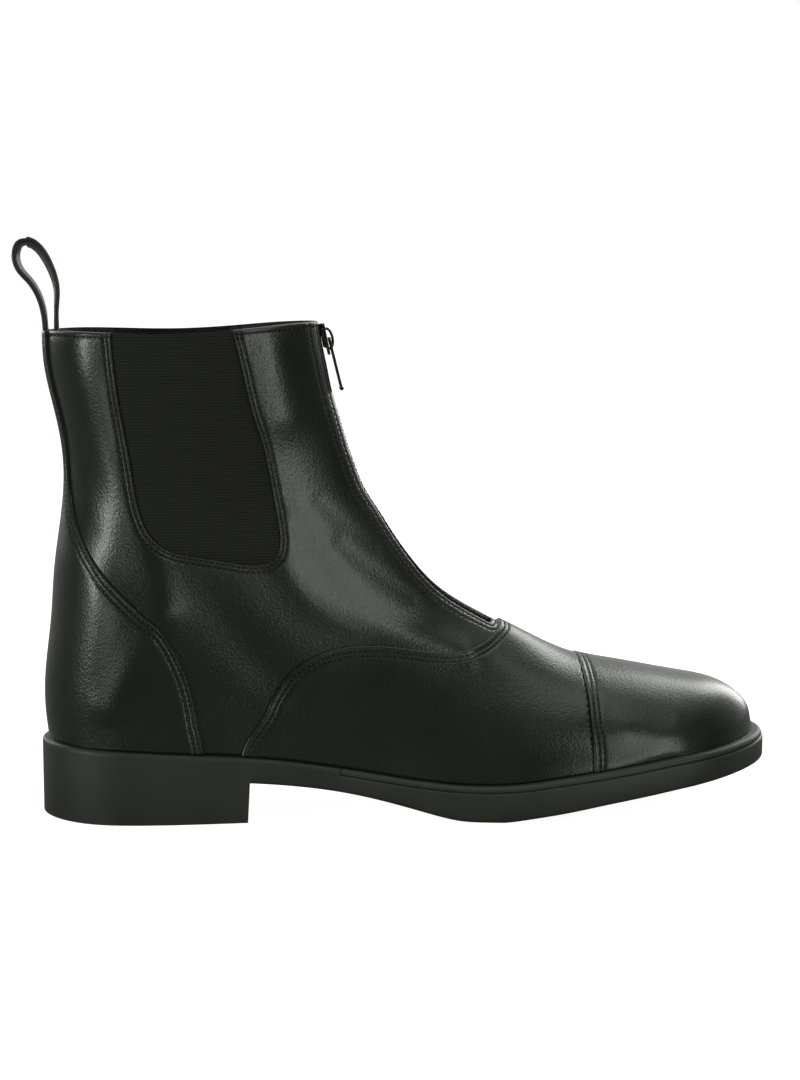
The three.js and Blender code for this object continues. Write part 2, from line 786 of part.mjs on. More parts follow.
// Chain of teeth in the throat opening, notched along its front.
function makeZipTeeth() {
  const from = (SLIDER_DOWN - SLIDER_LENGTH / 2 + SLIDER_NECK + GAP) / frontPath.run;
  const to = THROAT_END - GAP / frontPath.run - (WALL + PANEL) / frontPath.run;
  const teeth = Math.round(((to - from) * frontPath.run) / TEETH_PITCH);
  const front = [];
  for (let i = 0; i < 2 * teeth; i++) {
    const depth = i % 2 === 0 ? TEETH_PROUD : TEETH_PROUD - TEETH_NOTCH;
    for (const end of [0.12, 0.88]) {
      const { here, out } = frontFrame(THREE.MathUtils.lerp(from, to, (i + end) / (2 * teeth)));
      front.push([here[0] + out[0] * depth, here[1] + out[1] * depth]);
    }
  }
  const back = frontStrip(from, to, 0, -WALL, 24).slice(25);
  return meshOf("zip_teeth", acrossFrom([...front, ...back], -TEETH_WIDTH / 2, TEETH_WIDTH / 2), metal);
}

// Where the tab hangs on the slider, and what lies there, from the front path outwards.
const hingeRise = TAB_THICKNESS / 2 + TAB_PLAY;
const hingeShare = SLIDER_DOWN / frontPath.run;
const plateRise = TEETH_PROUD + GAP;
const hingeFrame = frontFrame(hingeShare);
const hingeOut = plateRise + SLIDER_PLATE + hingeRise;
const hinge = new THREE.Vector3(
  hingeFrame.here[0] + hingeFrame.out[0] * hingeOut,
  0,
  hingeFrame.here[1] + hingeFrame.out[1] * hingeOut,
);

// Slider of the zip, built round the hinge of its tab with the tape behind it: plate, neck and bridge.
function makeSlider() {
  const face = -hingeRise;
  const plate = new THREE.Shape();
  const [half, long] = [SLIDER_WIDTH / 2, SLIDER_LENGTH / 2];
  plate.moveTo(-half * 0.6, -long);
  plate.lineTo(half * 0.6, -long);
  plate.quadraticCurveTo(half, -long, half, -long * 0.4);
  plate.lineTo(half, long * 0.7);
  plate.quadraticCurveTo(half, long, half * 0.6, long);
  plate.lineTo(-half * 0.6, long);
  plate.quadraticCurveTo(-half, long, -half, long * 0.7);
  plate.lineTo(-half, -long * 0.4);
  plate.quadraticCurveTo(-half, -long, -half * 0.6, -long);
  const block = new THREE.ExtrudeGeometry(plate, { depth: SLIDER_PLATE, bevelEnabled: false, curveSegments: 5 });
  block.rotateX(Math.PI / 2).rotateZ(Math.PI / 2).translate(face - SLIDER_PLATE, 0, 0);
  const sunk = face - SLIDER_PLATE - plateRise - WALL / 2;
  const neck = [
    [face - SLIDER_PLATE / 2, long - SLIDER_NECK],
    [face - SLIDER_PLATE / 2, long],
    [sunk, long],
    [sunk, long - SLIDER_NECK],
  ];
  const arch = (grow) => {
    const rise = hingeRise + TAB_THICKNESS / 2 + TAB_PLAY + grow;
    return Array.from({ length: 13 }, (_, i) => {
      const angle = (Math.PI * i) / 12;
      const reach = (BRIDGE_LENGTH / 2 - BRIDGE_BAR + grow) * Math.cos(angle);
      return [face + rise * Math.sin(angle) ** 0.8, reach];
    });
  };
  const outer = arch(BRIDGE_BAR);
  const sunkEnd = face - SLIDER_PLATE / 2;
  const bow = [[sunkEnd, outer[0][1]], ...outer, [sunkEnd, outer.at(-1)[1]]];
  const hollow = [[sunkEnd - 1, arch(0)[0][1]], ...arch(0), [sunkEnd - 1, arch(0).at(-1)[1]]];
  const bridge = acrossFrom(bow, -BRIDGE_WIDTH / 2, BRIDGE_WIDTH / 2).subtract(acrossFrom(hollow, -WIDE, WIDE));
  const body = solidOf(block).add(acrossFrom(neck, -BRIDGE_WIDTH / 2, BRIDGE_WIDTH / 2)).add(bridge);
  const mesh = meshOf("zip_slider", body, metal);
  mesh.position.copy(hinge);
  mesh.rotation.y = -THREE.MathUtils.degToRad(SLIDER_LEAN);
  return mesh;
}

// Pull tab, hanging from its crossbar through the bridge of the slider.
function makePullTab() {
  const half = TAB_THICKNESS / 2;
  const profile = [
    [-half, -TAB_LENGTH + TAB_BEAD],
    [-half, half],
    [half, half],
    [half, -TAB_LENGTH + TAB_BEAD],
    [TAB_BEAD / 2, -TAB_LENGTH + TAB_BEAD / 2],
    [TAB_BEAD / 2, -TAB_LENGTH],
    [-TAB_BEAD / 2, -TAB_LENGTH],
    [-TAB_BEAD / 2, -TAB_LENGTH + TAB_BEAD / 2],
  ];
  const window = [
    [-TAB_BEAD, -half],
    [TAB_BEAD, -half],
    [TAB_BEAD, -BRIDGE_LENGTH / 2 - TAB_PLAY],
    [-TAB_BEAD, -BRIDGE_LENGTH / 2 - TAB_PLAY],
  ];
  const eye = BRIDGE_WIDTH / 2 + TAB_PLAY;
  const body = acrossFrom(profile, -TAB_WIDTH / 2, TAB_WIDTH / 2).subtract(acrossFrom(window, -eye, eye));
  const mesh = meshOf("zip_pull_tab", body, metal);
  mesh.position.copy(hinge);
  mesh.rotation.y = -THREE.MathUtils.degToRad(TAB_LEAN);
  return mesh;
}

// Pull loop at the back of the collar, tucked inside the upper.
function makePullLoop() {
  const top = [backX(COLLAR_HEIGHT), COLLAR_HEIGHT];
  const path = pathThrough(LOOP.map(([x, z]) => [top[0] + x * LOOP_SPREAD, top[1] + z * LOOP_HEIGHT]));
  const outline = Array.from({ length: 41 }, (_, i) => path(i / 40));
  const neck = top[1] + LOOP_NECK * LOOP_HEIGHT;
  const hole = movedOutline(outline.filter(([, z]) => z > neck), LOOP_BAND);
  const curl = COLLAR_ROUNDING * (LOOP_WIDTH / COLLAR_WIDTH) ** 2;
  const inside = backX(top[1] - LOOP_TUCK) + WALL + 3 * GAP + curl;
  const outside = inside + LOOP_BAND;
  const tuck = [
    [inside, top[1] - LOOP_TUCK],
    [outside, top[1] - LOOP_TUCK],
    [outside, top[1] + LOOP_BAND],
    [inside, top[1] + LOOP_BAND],
  ];
  const across = [-LOOP_WIDTH / 2, LOOP_WIDTH / 2];
  const band = acrossFrom(outline, ...across).subtract(acrossFrom(hole, -WIDE, WIDE));
  return meshOf("pull_loop", band.add(acrossFrom(tuck, ...across)), webbing);
}

// The origin lies on the floor under the middle of the heel's tread.
const boot = new THREE.Group();
boot.position.x = -HEEL_LENGTH / 2;
boot.add(
  makeSole(),
  makeInsole(),
  makeUpper(),
  makeCounter(),
  makeVamp(),
  makeToeCap(),
  makeGore("gore_outer", -1),
  makeGore("gore_inner", 1),
  makeZipTape(),
  makeZipTeeth(),
  makeSlider(),
  makePullTab(),
  makePullLoop(),
);

export default boot;
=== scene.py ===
"""Paddock boot for the right foot. Sizes are in millimetres, and the meshes are made in metres."""
import math

import bmesh
import bpy
import numpy as np
from mathutils import Euler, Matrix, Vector
from mathutils.kdtree import KDTree


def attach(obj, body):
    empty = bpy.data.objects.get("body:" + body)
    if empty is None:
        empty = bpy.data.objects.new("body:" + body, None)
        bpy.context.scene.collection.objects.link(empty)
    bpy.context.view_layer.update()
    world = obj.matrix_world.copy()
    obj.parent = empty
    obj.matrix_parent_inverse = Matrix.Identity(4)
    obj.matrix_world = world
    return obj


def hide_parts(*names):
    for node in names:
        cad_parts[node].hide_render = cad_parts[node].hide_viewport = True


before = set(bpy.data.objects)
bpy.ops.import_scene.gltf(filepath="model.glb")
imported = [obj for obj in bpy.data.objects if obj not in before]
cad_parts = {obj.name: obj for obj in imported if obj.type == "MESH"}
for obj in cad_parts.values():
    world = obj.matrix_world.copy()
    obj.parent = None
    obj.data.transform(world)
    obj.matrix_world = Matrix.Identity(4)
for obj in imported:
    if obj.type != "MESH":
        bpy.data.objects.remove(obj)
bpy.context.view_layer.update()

MM = 0.001
FAR = 30.0

# Sizes of the last, the upper and the sole
SOLE_LENGTH = 294.0
COLLAR_HEIGHT = 190.5
SEAT_HEIGHT = 30.0
BALL_WIDTH = 85.5
ANKLE_WIDTH = 57.0
COLLAR_WIDTH = 66.0
HEEL_ROUNDING = 18.5
COLLAR_ROUNDING = 25.0
COLLAR_DIP = 2.2
WALL = 2.0
PANEL = 1.5
CAP = 2.0
GAP = 0.3
HEEL_LENGTH = 81.0
BREAST_RAKE = 0.9
HEEL_RIM = 2.6
TOE_RIM = 5.0
RIM_BASE = 1.5
CROWN_INSET = 9.0
INSOLE = 2.5
INSOLE_INSET = 3.6
INSOLE_EDGE = 0.8
FEATHER_END = 0.85
SOLE_STEPS = 190
INSOLE_STEPS = 110
HEEL_EDGE = 0.6
TREAD_EDGE = 1.6
TREAD_CROWN = 0.8
STEP_WIDTH = 0.5
TOP_INSET = 0.4
FOOT_BLEND = (0.19, 0.5)
GROOVE_START = 0.398
DEPTH_STATIONS = (0, 0.3, 0.6, 0.8, 1.25, 1.5, 1.75, 1.9, 2)

# Sizes of the zip, the gores and the pull loop
ZIP_OPENING = 6.4
THROAT_END = 0.5445
TAPE_WIDTH = 22.0
TOOTH_PITCH = 1.35
SLIDER_DOWN = 7.4
SLIDER_LENGTH = 12.6
SLIDER_WIDTH = 7.6
SLIDER_PLATE = 0.8
SLIDER_LEAN = 11.3
BRIDGE_LENGTH = 9.0
BRIDGE_WIDTH = 2.2
BRIDGE_BAR = 1.0
TAB_LENGTH = 21.0
TAB_WIDTH = 5.0
TAB_THICKNESS = 0.9
TAB_BEAD = 1.6
TAB_LEAN = 13.7
TAB_PLAY = 0.4
TEETH_PROUD = 0.7
TEETH_LEVEL = -1.5
TEETH_OVER_HINGE = 3.0
TEETH_STOP = 3.2
TOOTH_SIZE = (1.0, 3.6, 1.9)
TOOTH_BEVEL = 0.22
TOOTH_SIDE = 0.75
TAPE_BEHIND = 0.1
TAPE_THICKNESS = 0.6
TAPE_TOP = 0.006
LOWER_CORNER = 1.9
UPPER_CORNER = 1.5
WING_DEPTH = 1.9
WING_TOP = 0.2
WING_SPAN = (-0.55, 0.75)
WING_FOOT = (0.7, -0.5)
WING_INSET = 0.98
WING_THICKNESS = 0.7
NECK_LENGTH = 2.4
NECK_TOP = 0.4
METAL_ROUND = 0.18
BRIDGE_ROUND = 0.3
TAB_ROUND = 0.12
RIB_PITCH = 1.15
THREAD_PITCH = 0.8
LOOP_WIDTH = 10.0
LOOP_BAND = 1.8
LOOP_HEIGHT = 34.6
LOOP_SPREAD = 17.0
LOOP_TUCK = 11.0
LOOP_TWIST = 16.0
LOOP_EDGE = 0.6
LOOP_STEPS = 150
TUCK_STEPS = 14
TUCK_TOP = 0.6
TUCK_INSET = 1.8
REAR_TWIST = 0.45

# Back of the upper, collar to seat: share of collar height, share of sole length
BACK = [
    (1.0, 0.0156), (0.93, 0.0177), (0.86, 0.0265), (0.782, 0.0367), (0.709, 0.0403), (0.609, 0.0344),
    (0.509, 0.0252), (0.408, 0.0197), (0.307, 0.0116), (0.231, 0.0095), (0.157, 0.014),
]
# Throat, instep ridge and toe, collar to feather: share of sole length, share of collar height
FRONT = [
    (0.3782, 1.0157), (0.3827, 0.971), (0.3891, 0.924), (0.3963, 0.871), (0.4048, 0.826), (0.4143, 0.775),
    (0.4252, 0.725), (0.4384, 0.674), (0.4588, 0.623), (0.4796, 0.572), (0.5044, 0.5186), (0.535, 0.465),
    (0.5884, 0.407), (0.6497, 0.356), (0.7289, 0.299), (0.7867, 0.2793), (0.8548, 0.2583), (0.889, 0.2485),
    (0.92, 0.2385), (0.94, 0.2262), (0.957, 0.208), (0.9685, 0.1865), (0.9718, 0.1659), (0.9745, 0.146),
]
# Seam between upper and sole: share of sole length, share of seat height
FEATHER = [
    (0.0, 1.0), (0.075, 0.977), (0.15, 0.933), (0.218, 0.887), (0.27, 0.85), (0.33, 0.785), (0.39, 0.7),
    (0.43, 0.643), (0.47, 0.585), (0.51, 0.538), (0.55, 0.503), (0.59, 0.496), (0.63, 0.517),
    (0.68, 0.582), (0.73, 0.645), (0.79, 0.72), (0.86, 0.807), (0.93, 0.867), (1.0, 0.925),
]
# Underside of the sole in front of the heel: share of sole length, share of seat height
TREAD = [
    (0.25, 0.505), (0.2755, 0.49), (0.34, 0.432), (0.41, 0.335), (0.47, 0.21), (0.52, 0.083),
    (0.555, 0.012), (0.575, 0.0), (0.61, 0.0), (0.643, 0.045), (0.69, 0.118), (0.738, 0.2),
    (0.806, 0.297), (0.874, 0.392), (0.935, 0.46), (1.0, 0.51),
]
# Half widths at the feather: share of sole length, outer and inner side as shares of ball width
PLAN = [
    (0.0, 0.316, 0.304), (0.1, 0.324, 0.312), (0.2, 0.333, 0.31), (0.3, 0.325, 0.275),
    (0.4, 0.342, 0.245), (0.5, 0.409, 0.29), (0.6, 0.474, 0.404), (0.65, 0.495, 0.462),
    (0.7, 0.497, 0.502), (0.75, 0.482, 0.514), (0.8, 0.453, 0.5), (0.85, 0.415, 0.47),
    (0.9, 0.375, 0.428), (0.975, 0.31, 0.352),
]
# Shaft: share of collar height, half width as a share of the ankle's, share of the flare to the collar
SHAFT = [
    (0.157, 1.0, 0), (0.25, 1.075, 0), (0.4, 1.09, 0), (0.55, 1.04, 0), (0.7, 1.0, 0.05),
    (0.85, 1.0, 0.5), (1.0, 1.0, 1),
]
# Ridge of the instep towards the inner side: share of sole length, share of ball width
RIDGE = [(0.0, 0.0), (0.4, 0.0), (0.55, 0.02), (0.7, 0.045), (0.85, 0.045), (1.0, 0.035)]
# Sections: share of the back (0 to 1) and of the feather (1 to 2), share of the front, two roundness powers
FAN = [
    (0.0, 0.0, 2.3, 2.0), (0.283, 0.129, 2.2, 2.0), (0.452, 0.218, 2.1, 2.0), (0.614, 0.31, 2.0, 2.0),
    (0.776, 0.382, 1.9, 2.0), (0.907, 0.425, 1.85, 2.0), (1.0, 0.45, 1.8, 2.0), (1.07, 0.468, 1.75, 2.0),
    (1.167, 0.493, 1.7, 2.0), (1.272, 0.522, 1.65, 2.0), (1.394, 0.555, 1.65, 1.95),
    (1.515, 0.595, 1.7, 1.9), (1.628, 0.645, 1.8, 1.9), (1.717, 0.697, 1.9, 1.95), (1.798, 0.765, 2.0, 2.0),
    (1.859, 0.83, 2.05, 2.05), (1.911, 0.89, 2.05, 2.05), (1.95, 0.94, 2.05, 2.05),
    (1.98, 0.975, 2.05, 2.05), (2.0, 1.0, 2.05, 2.05),
]
# Seams in side view: share of sole length, share of collar height
GORE = [
    (0.1, 1.06), (0.1027, 0.997), (0.1102, 0.874), (0.1265, 0.722), (0.1371, 0.634), (0.1497, 0.591),
    (0.1711, 0.562), (0.2061, 0.547), (0.2503, 0.534), (0.2959, 0.5265), (0.3102, 0.5344),
    (0.3194, 0.567), (0.3184, 0.6016), (0.3085, 0.691), (0.2973, 0.774), (0.2847, 0.834),
    (0.2735, 0.91), (0.26, 1.0), (0.254, 1.06),
]
COUNTER = [
    (0.0201, 1.06), (0.0201, 1.0), (0.0222, 0.93), (0.031, 0.86), (0.0412, 0.782), (0.0448, 0.709),
    (0.0475, 0.66), (0.053, 0.615), (0.0645, 0.569), (0.0854, 0.518), (0.1119, 0.4724), (0.1401, 0.43),
    (0.1619, 0.3995), (0.1772, 0.362), (0.1898, 0.3186), (0.2024, 0.2556), (0.2085, 0.1995),
    (0.2153, 0.149), (0.218, 0.1),
]
VAMP = [
    (0.26, 0.1), (0.2646, 0.138), (0.2769, 0.1785), (0.2939, 0.2126), (0.3044, 0.2467),
    (0.3177, 0.279), (0.3333, 0.3076), (0.3622, 0.3344), (0.3939, 0.35), (0.4306, 0.3533),
    (0.4745, 0.347), (0.5303, 0.333), (0.5629, 0.3318), (0.5901, 0.3423), (0.6129, 0.3633),
    (0.6211, 0.3738), (0.6195, 0.398), (0.6139, 0.42),
]
CAP_EDGE = [
    (0.731, 0.36), (0.731, 0.318), (0.7306, 0.298), (0.73, 0.267), (0.7296, 0.2425),
    (0.7286, 0.197), (0.7286, 0.1375), (0.728, 0.06),
]
# Side of the sole below its top: depth, inset where it is grooved, inset where it is plain
RIM_PROFILE = [
    (0, 2.4, 0.9), (0.15, 1.9, 0.62), (0.4, 1.5, 0.35), (0.7, 1.1, 0.2), (1.0, 0.85, 0.1),
    (1.5, 0.65, 0.02), (1.9, 0.62, 0), (2.05, 0.75, 0), (2.2, 1.1, 0), (2.35, 1.2, 0), (2.5, 1.0, 0),
    (2.65, 0.45, 0), (2.9, 0.18, 0), (3.4, 0, 0),
]
# Outline of the pull loop from the top of the back: share of its spread forwards, share of its height
LOOP = [
    (-0.05, 0.012), (-0.075, 0.17), (-0.165, 0.35), (-0.372, 0.53), (-0.578, 0.65), (-0.678, 0.795),
    (-0.66, 0.893), (-0.578, 0.971), (-0.443, 1.0), (-0.278, 0.99), (-0.049, 0.905), (0.157, 0.737),
    (0.275, 0.584), (0.325, 0.439), (0.315, 0.275), (0.306, 0.139), (0.306, 0.012),
]

# Stitch rows, by their distance from the edge that they follow
GORE_ROWS = (-1.2, -2.8)
COUNTER_ROWS = (1.7, 3.7)
VAMP_ROWS = (2.4, 4.2)
CAP_ROWS = (2.4, 4.3)
COLLAR_ROW = 2.0
ZIP_ROW = (4.0, 2.0)
WIDE_ZIP_ROW = (9.0, 4.5)
STITCH_START = 1.2

# Stitches, and flat dark discs of painted shade for the holes that the needle leaves between them
STITCH_LENGTH = 1.5
STITCH_PITCH = 2.15
STITCH_RADIUS = 0.27
STITCH_SIDES = 6
STITCH_RINGS = 5
STITCH_DIP = 0.16
STITCH_LIFT = 0.05
HOLE_RADIUS = 0.42
HOLE_SIDES = 8
HOLE_LIFT = 0.04

# Soft folds in side view: height, width, share of it on the inner side, and the line that each follows
FOLDS = {
    "streak down the quarter": (
        *(0.85, 6.5, 0.8),
        [(16.9, 185.6), (21.4, 164.8), (27.4, 145.7), (35.8, 126.4), (43.9, 108.9), (48.6, 91.4), (49.6, 84)],
    ),
    "swell of the counter": (1.0, 7.0, 0.8, [(46, 78), (38.6, 64.1), (27.6, 46.3)]),
    "fold round the ankle": (
        *(0.9, 6.0, 0.7),
        [(93, 112), (101.6, 92.0), (113.2, 81.1), (132.8, 72.8), (152.5, 67.3), (167.6, 64.2)],
    ),
    "swell of the collar front": (1.0, 8.0, 0.9, [(92, 182), (94, 172), (97, 158)]),
    "ridge of the vamp": (0.5, 6.0, 0.9, [(172.1, 60.5), (196.1, 52.7), (213, 46)]),
    "ridge of the cap": (0.4, 4.5, 0.9, [(222.2, 45.0), (235.1, 42.0), (249.3, 38.4)]),
    "swell of the cap": (0.45, 5.0, 0.9, [(228, 34.5), (238.6, 32.4), (250, 29.0)]),
    "hollow under the gore": (-0.7, 9.0, 0.8, [(66, 88), (80, 68), (100, 50)]),
    "hollow of the heel": (-0.5, 7.0, 0.8, [(22, 112), (34, 94)]),
    "crease at the throat": (-0.3, 3.2, 0.5, [(118, 108), (132, 95), (147, 84)]),
    "second crease at the throat": (-0.2, 2.8, 1.2, [(110, 124), (122, 112), (132, 105)]),
}


def spline_of(rows, column):
    """A natural cubic spline of one column of a table against its first column."""
    table = np.array(rows, float)
    x, y = table[:, 0], table[:, column]
    step = np.diff(x)
    matrix = np.eye(len(x))
    right = np.zeros(len(x))
    for i in range(1, len(x) - 1):
        matrix[i, i - 1 : i + 2] = step[i - 1], 2 * (step[i - 1] + step[i]), step[i]
        right[i] = 6 * ((y[i + 1] - y[i]) / step[i] - (y[i] - y[i - 1]) / step[i - 1])
    bend = np.linalg.solve(matrix, right)

    def value(at):
        at = np.asarray(at, float)
        i = np.clip(np.searchsorted(x, at, side="right") - 1, 0, len(x) - 2)
        width = x[i + 1] - x[i]
        a = (x[i + 1] - at) / width
        b = 1 - a
        curl = ((a**3 - a) * bend[i] + (b**3 - b) * bend[i + 1]) * width**2 / 6
        return a * y[i] + b * y[i + 1] + curl

    return value


def path_through(points):
    """A smooth path through side view points, by its share from 0 to 1, and its length."""
    points = np.array(points, float)
    marks = np.concatenate([[0], np.cumsum(np.hypot(*np.diff(points, axis=0).T))])
    x = spline_of(np.column_stack([marks, points[:, 0]]), 1)
    z = spline_of(np.column_stack([marks, points[:, 1]]), 1)
    length = marks[-1]

    def place(share):
        at = np.asarray(share, float) * length
        return np.stack([x(at), z(at)], axis=-1)

    return place, length


def side_view(table):
    return np.array(table) * (SOLE_LENGTH, COLLAR_HEIGHT)


def lerp(a, b, share):
    return a + (b - a) * share


def smoothstep(at, low, high):
    share = np.clip((np.asarray(at, float) - low) / (high - low), 0, 1)
    return share * share * (3 - 2 * share)


back_at = spline_of(BACK[::-1], 1)
feather_at = spline_of(FEATHER, 1)
tread_at = spline_of(TREAD, 1)
outer_plan, inner_plan = spline_of(PLAN, 1), spline_of(PLAN, 2)
shaft_share, shaft_flare = spline_of(SHAFT, 1), spline_of(SHAFT, 2)
ridge_at = spline_of(RIDGE, 1)
fan_front, fan_first, fan_second = (spline_of(FAN, column) for column in (1, 2, 3))
front_path, front_length = path_through(side_view(FRONT))


def back_x(z):
    return SOLE_LENGTH * back_at(z / COLLAR_HEIGHT)


def feather_z(x):
    return SEAT_HEIGHT * feather_at(x / SOLE_LENGTH)


SEAT_BACK = float(back_x(SEAT_HEIGHT))
FEATHER_X = FEATHER_END * SOLE_LENGTH


def foot_of(run):
    """Lower ends of the sections: on the back of the upper, then along the feather."""
    run = np.asarray(run, float)
    up = lerp(COLLAR_HEIGHT, SEAT_HEIGHT + GAP, np.minimum(run, 1))
    x = np.where(run <= 1, back_x(up), lerp(SEAT_BACK, FEATHER_X, run - 1))
    return np.stack([x, np.where(run <= 1, up, feather_z(x) + GAP)], axis=-1)


def chord(run):
    return np.hypot(*np.moveaxis(front_path(fan_front(run)) - foot_of(run), -1, 0))


depth_at = spline_of([(run, float(chord(run))) for run in DEPTH_STATIONS], 1)


def above_last_chord(x):
    """Rise of the feather over the straight line between the ends of the last section."""
    (x0, z0), (x1, z1) = foot_of(2.0), front_path(1.0)
    at = np.maximum(x, x0)
    return feather_z(at) + GAP - lerp(z0, z1, (at - x0) / (x1 - x0))


def last_half_width(x, z, side):
    """Half width of the last, before the rounding of its back and its ridge."""
    plan = BALL_WIDTH * np.where(side < 0, outer_plan(x / SOLE_LENGTH), inner_plan(x / SOLE_LENGTH))
    height = z / COLLAR_HEIGHT
    flare = shaft_flare(height) * (COLLAR_WIDTH - ANKLE_WIDTH) / 2
    return lerp(plan, ANKLE_WIDTH / 2 * shaft_share(height) + flare, smoothstep(height, *FOOT_BLEND))


def upper_points(run, turn):
    """Points of the upper's outer face, with turn 0 to 1 up the outer side and 1 to 2 down the inner."""
    side = np.where(turn < 1, -1.0, 1.0)
    across = np.where(turn < 1, turn, 2 - turn)
    closed = 1 - smoothstep(run, 1, 1.25)
    along = lerp(np.sin(math.pi / 2 * across), (1 - np.cos(math.pi * across)) / 2, closed)
    foot, top = foot_of(run), front_path(fan_front(run))
    x = lerp(foot[..., 0], top[..., 0], along)
    sag = COLLAR_DIP * np.sin(math.pi * along) ** 2 * (1 - smoothstep(run, 0, 0.35))
    level = smoothstep(run, 1.7, 2) * above_last_chord(x)
    z = lerp(foot[..., 1], top[..., 1], along) - sag + level
    rising = (z - SEAT_HEIGHT) / (COLLAR_HEIGHT - SEAT_HEIGHT)
    rounding = lerp(HEEL_ROUNDING, COLLAR_ROUNDING, rising)
    behind = np.maximum(x - back_x(z + sag), 0)
    back = (1 - np.exp(-((behind / rounding) ** 2))) ** 0.25
    away = (1 - along) * np.hypot(top[..., 0] - foot[..., 0], top[..., 1] - foot[..., 1])
    inward = np.maximum(1 - away / depth_at(run), 0)
    front = np.maximum(1 - inward ** fan_first(run), 0) ** (1 / fan_second(run))
    ridge = BALL_WIDTH * ridge_at(x / SOLE_LENGTH)
    half = (last_half_width(x, z, side) - side * ridge) * back * front
    return np.stack([x, ridge + side * half, z], axis=-1)


class Skin:
    """A fine sheet of triangles, with a normal and named values at every point."""

    def __init__(self, points, faces, normals, values):
        self.points, self.faces, self.normals, self.values = points, faces, normals, values

    def copy(self):
        values = {name: value.copy() for name, value in self.values.items()}
        return Skin(self.points.copy(), self.faces.copy(), self.normals.copy(), values)

    def keep(self, faces):
        """A copy with only some of the faces and the points that they use."""
        used, place = np.unique(self.faces[faces], return_inverse=True)
        values = {name: value[used] for name, value in self.values.items()}
        return Skin(self.points[used], place.reshape(-1, 3), self.normals[used], values)

    def where(self, name, low=-np.inf, high=np.inf):
        """Faces whose middle has a value between two limits."""
        middle = self.values[name][self.faces].mean(axis=1)
        return (middle > low) & (middle < high)


SNAP = 0.05
REACH = 14.0


def split(skin, name, level):
    """Cut the faces of a skin along the line where one of its values equals a level."""
    value = skin.values[name]
    value[np.abs(value - level) < SNAP] = level
    side = value - level
    corner = np.sign(side)[skin.faces]
    crossed = (corner.min(axis=1) < 0) & (corner.max(axis=1) > 0)
    if not crossed.any():
        return
    cut, corner = skin.faces[crossed], corner[crossed]
    on_line = (corner == 0).any(axis=1)
    alone = corner == -corner.sum(axis=1)[:, None]
    first = np.where(on_line, (corner == 0).argmax(axis=1), alone.argmax(axis=1))
    cut = np.take_along_axis(cut, (first[:, None] + np.arange(3)) % 3, axis=1)
    halves, thirds = cut[on_line], cut[~on_line]
    edges = np.concatenate([halves[:, [1, 2]], thirds[:, [0, 1]], thirds[:, [0, 2]]])
    pairs, place = np.unique(np.sort(edges, axis=1), axis=0, return_inverse=True)
    a, b = pairs.T
    share = side[a] / (side[a] - side[b])
    new = len(skin.points) + place.ravel()

    def mixed(column):
        return lerp(column[a], column[b], share if column.ndim == 1 else share[:, None])

    skin.points = np.concatenate([skin.points, mixed(skin.points)])
    normals = mixed(skin.normals)
    normals /= np.linalg.norm(normals, axis=1)[:, None]
    skin.normals = np.concatenate([skin.normals, normals])
    skin.values = {key: np.concatenate([column, mixed(column)]) for key, column in skin.values.items()}
    skin.values[name][-len(pairs) :] = level
    middle, p, q = np.split(new, [len(halves), len(halves) + len(thirds)])
    skin.faces = np.concatenate(
        [
            skin.faces[~crossed],
            np.column_stack([halves[:, 0], halves[:, 1], middle]),
            np.column_stack([halves[:, 0], middle, halves[:, 2]]),
            np.column_stack([thirds[:, 0], p, q]),
            np.column_stack([p, thirds[:, 1], thirds[:, 2]]),
            np.column_stack([p, thirds[:, 2], q]),
        ]
    )


def level_edges(skin, name, level):
    """Edges that lie on one level of a value."""
    on = np.abs(skin.values[name] - level) < SNAP / 10
    edges = np.concatenate([skin.faces[:, [0, 1]], skin.faces[:, [1, 2]], skin.faces[:, [2, 0]]])
    edges = edges[on[edges].all(axis=1)]
    return np.unique(np.sort(edges, axis=1), axis=0)


def add_seam(skin, name, rough):
    """Give a skin its true distance from a seam, from a rough value that changes sign there."""
    skin.values[name] = rough
    split(skin, name, 0.0)
    edges = level_edges(skin, name, 0.0)
    set_distance(skin, name, [lerp(*skin.points[edges.T], share) for share in np.arange(0, 1, 0.2)])


def set_distance(skin, name, places):
    """Keep the sign of a value and make its size the true distance from places, up to the reach."""
    places = np.concatenate(places)
    tree = KDTree(len(places))
    for i, place in enumerate(places):
        tree.insert(place, i)
    tree.balance()
    value = skin.values[name]
    near = np.flatnonzero(np.abs(value) < REACH)
    distance = np.full(len(value), REACH)
    distance[near] = [min(tree.find(point)[2], REACH) for point in skin.points[near]]
    skin.values[name] = np.where(value == 0, 0, np.sign(value) * distance)


def side_distance(points, outline):
    """Signed distance in side view from a line, positive to its left."""
    start, step = outline[:-1], np.diff(outline, axis=0)
    result = np.empty(len(points))
    for low in range(0, len(points), 4000):
        place = points[low : low + 4000, None, [0, 2]] - start
        share = np.clip((place * step).sum(axis=2) / (step**2).sum(axis=1), 0, 1)
        rest = place - share[..., None] * step
        distance = np.hypot(rest[..., 0], rest[..., 1])
        nearest = distance.argmin(axis=1)[:, None]
        cross = step[:, 0] * place[..., 1] - step[:, 1] * place[..., 0]
        sign = np.where(np.take_along_axis(cross, nearest, 1) < 0, -1.0, 1.0)
        result[low : low + 4000] = (sign * np.take_along_axis(distance, nearest, 1))[:, 0]
    return result


def seam_line(table, steps=90):
    return path_through(side_view(table))[0](np.linspace(0, 1, steps + 1))


SHAFT_ROWS = 110
FOOT_ROWS = 170
TURNS = 168


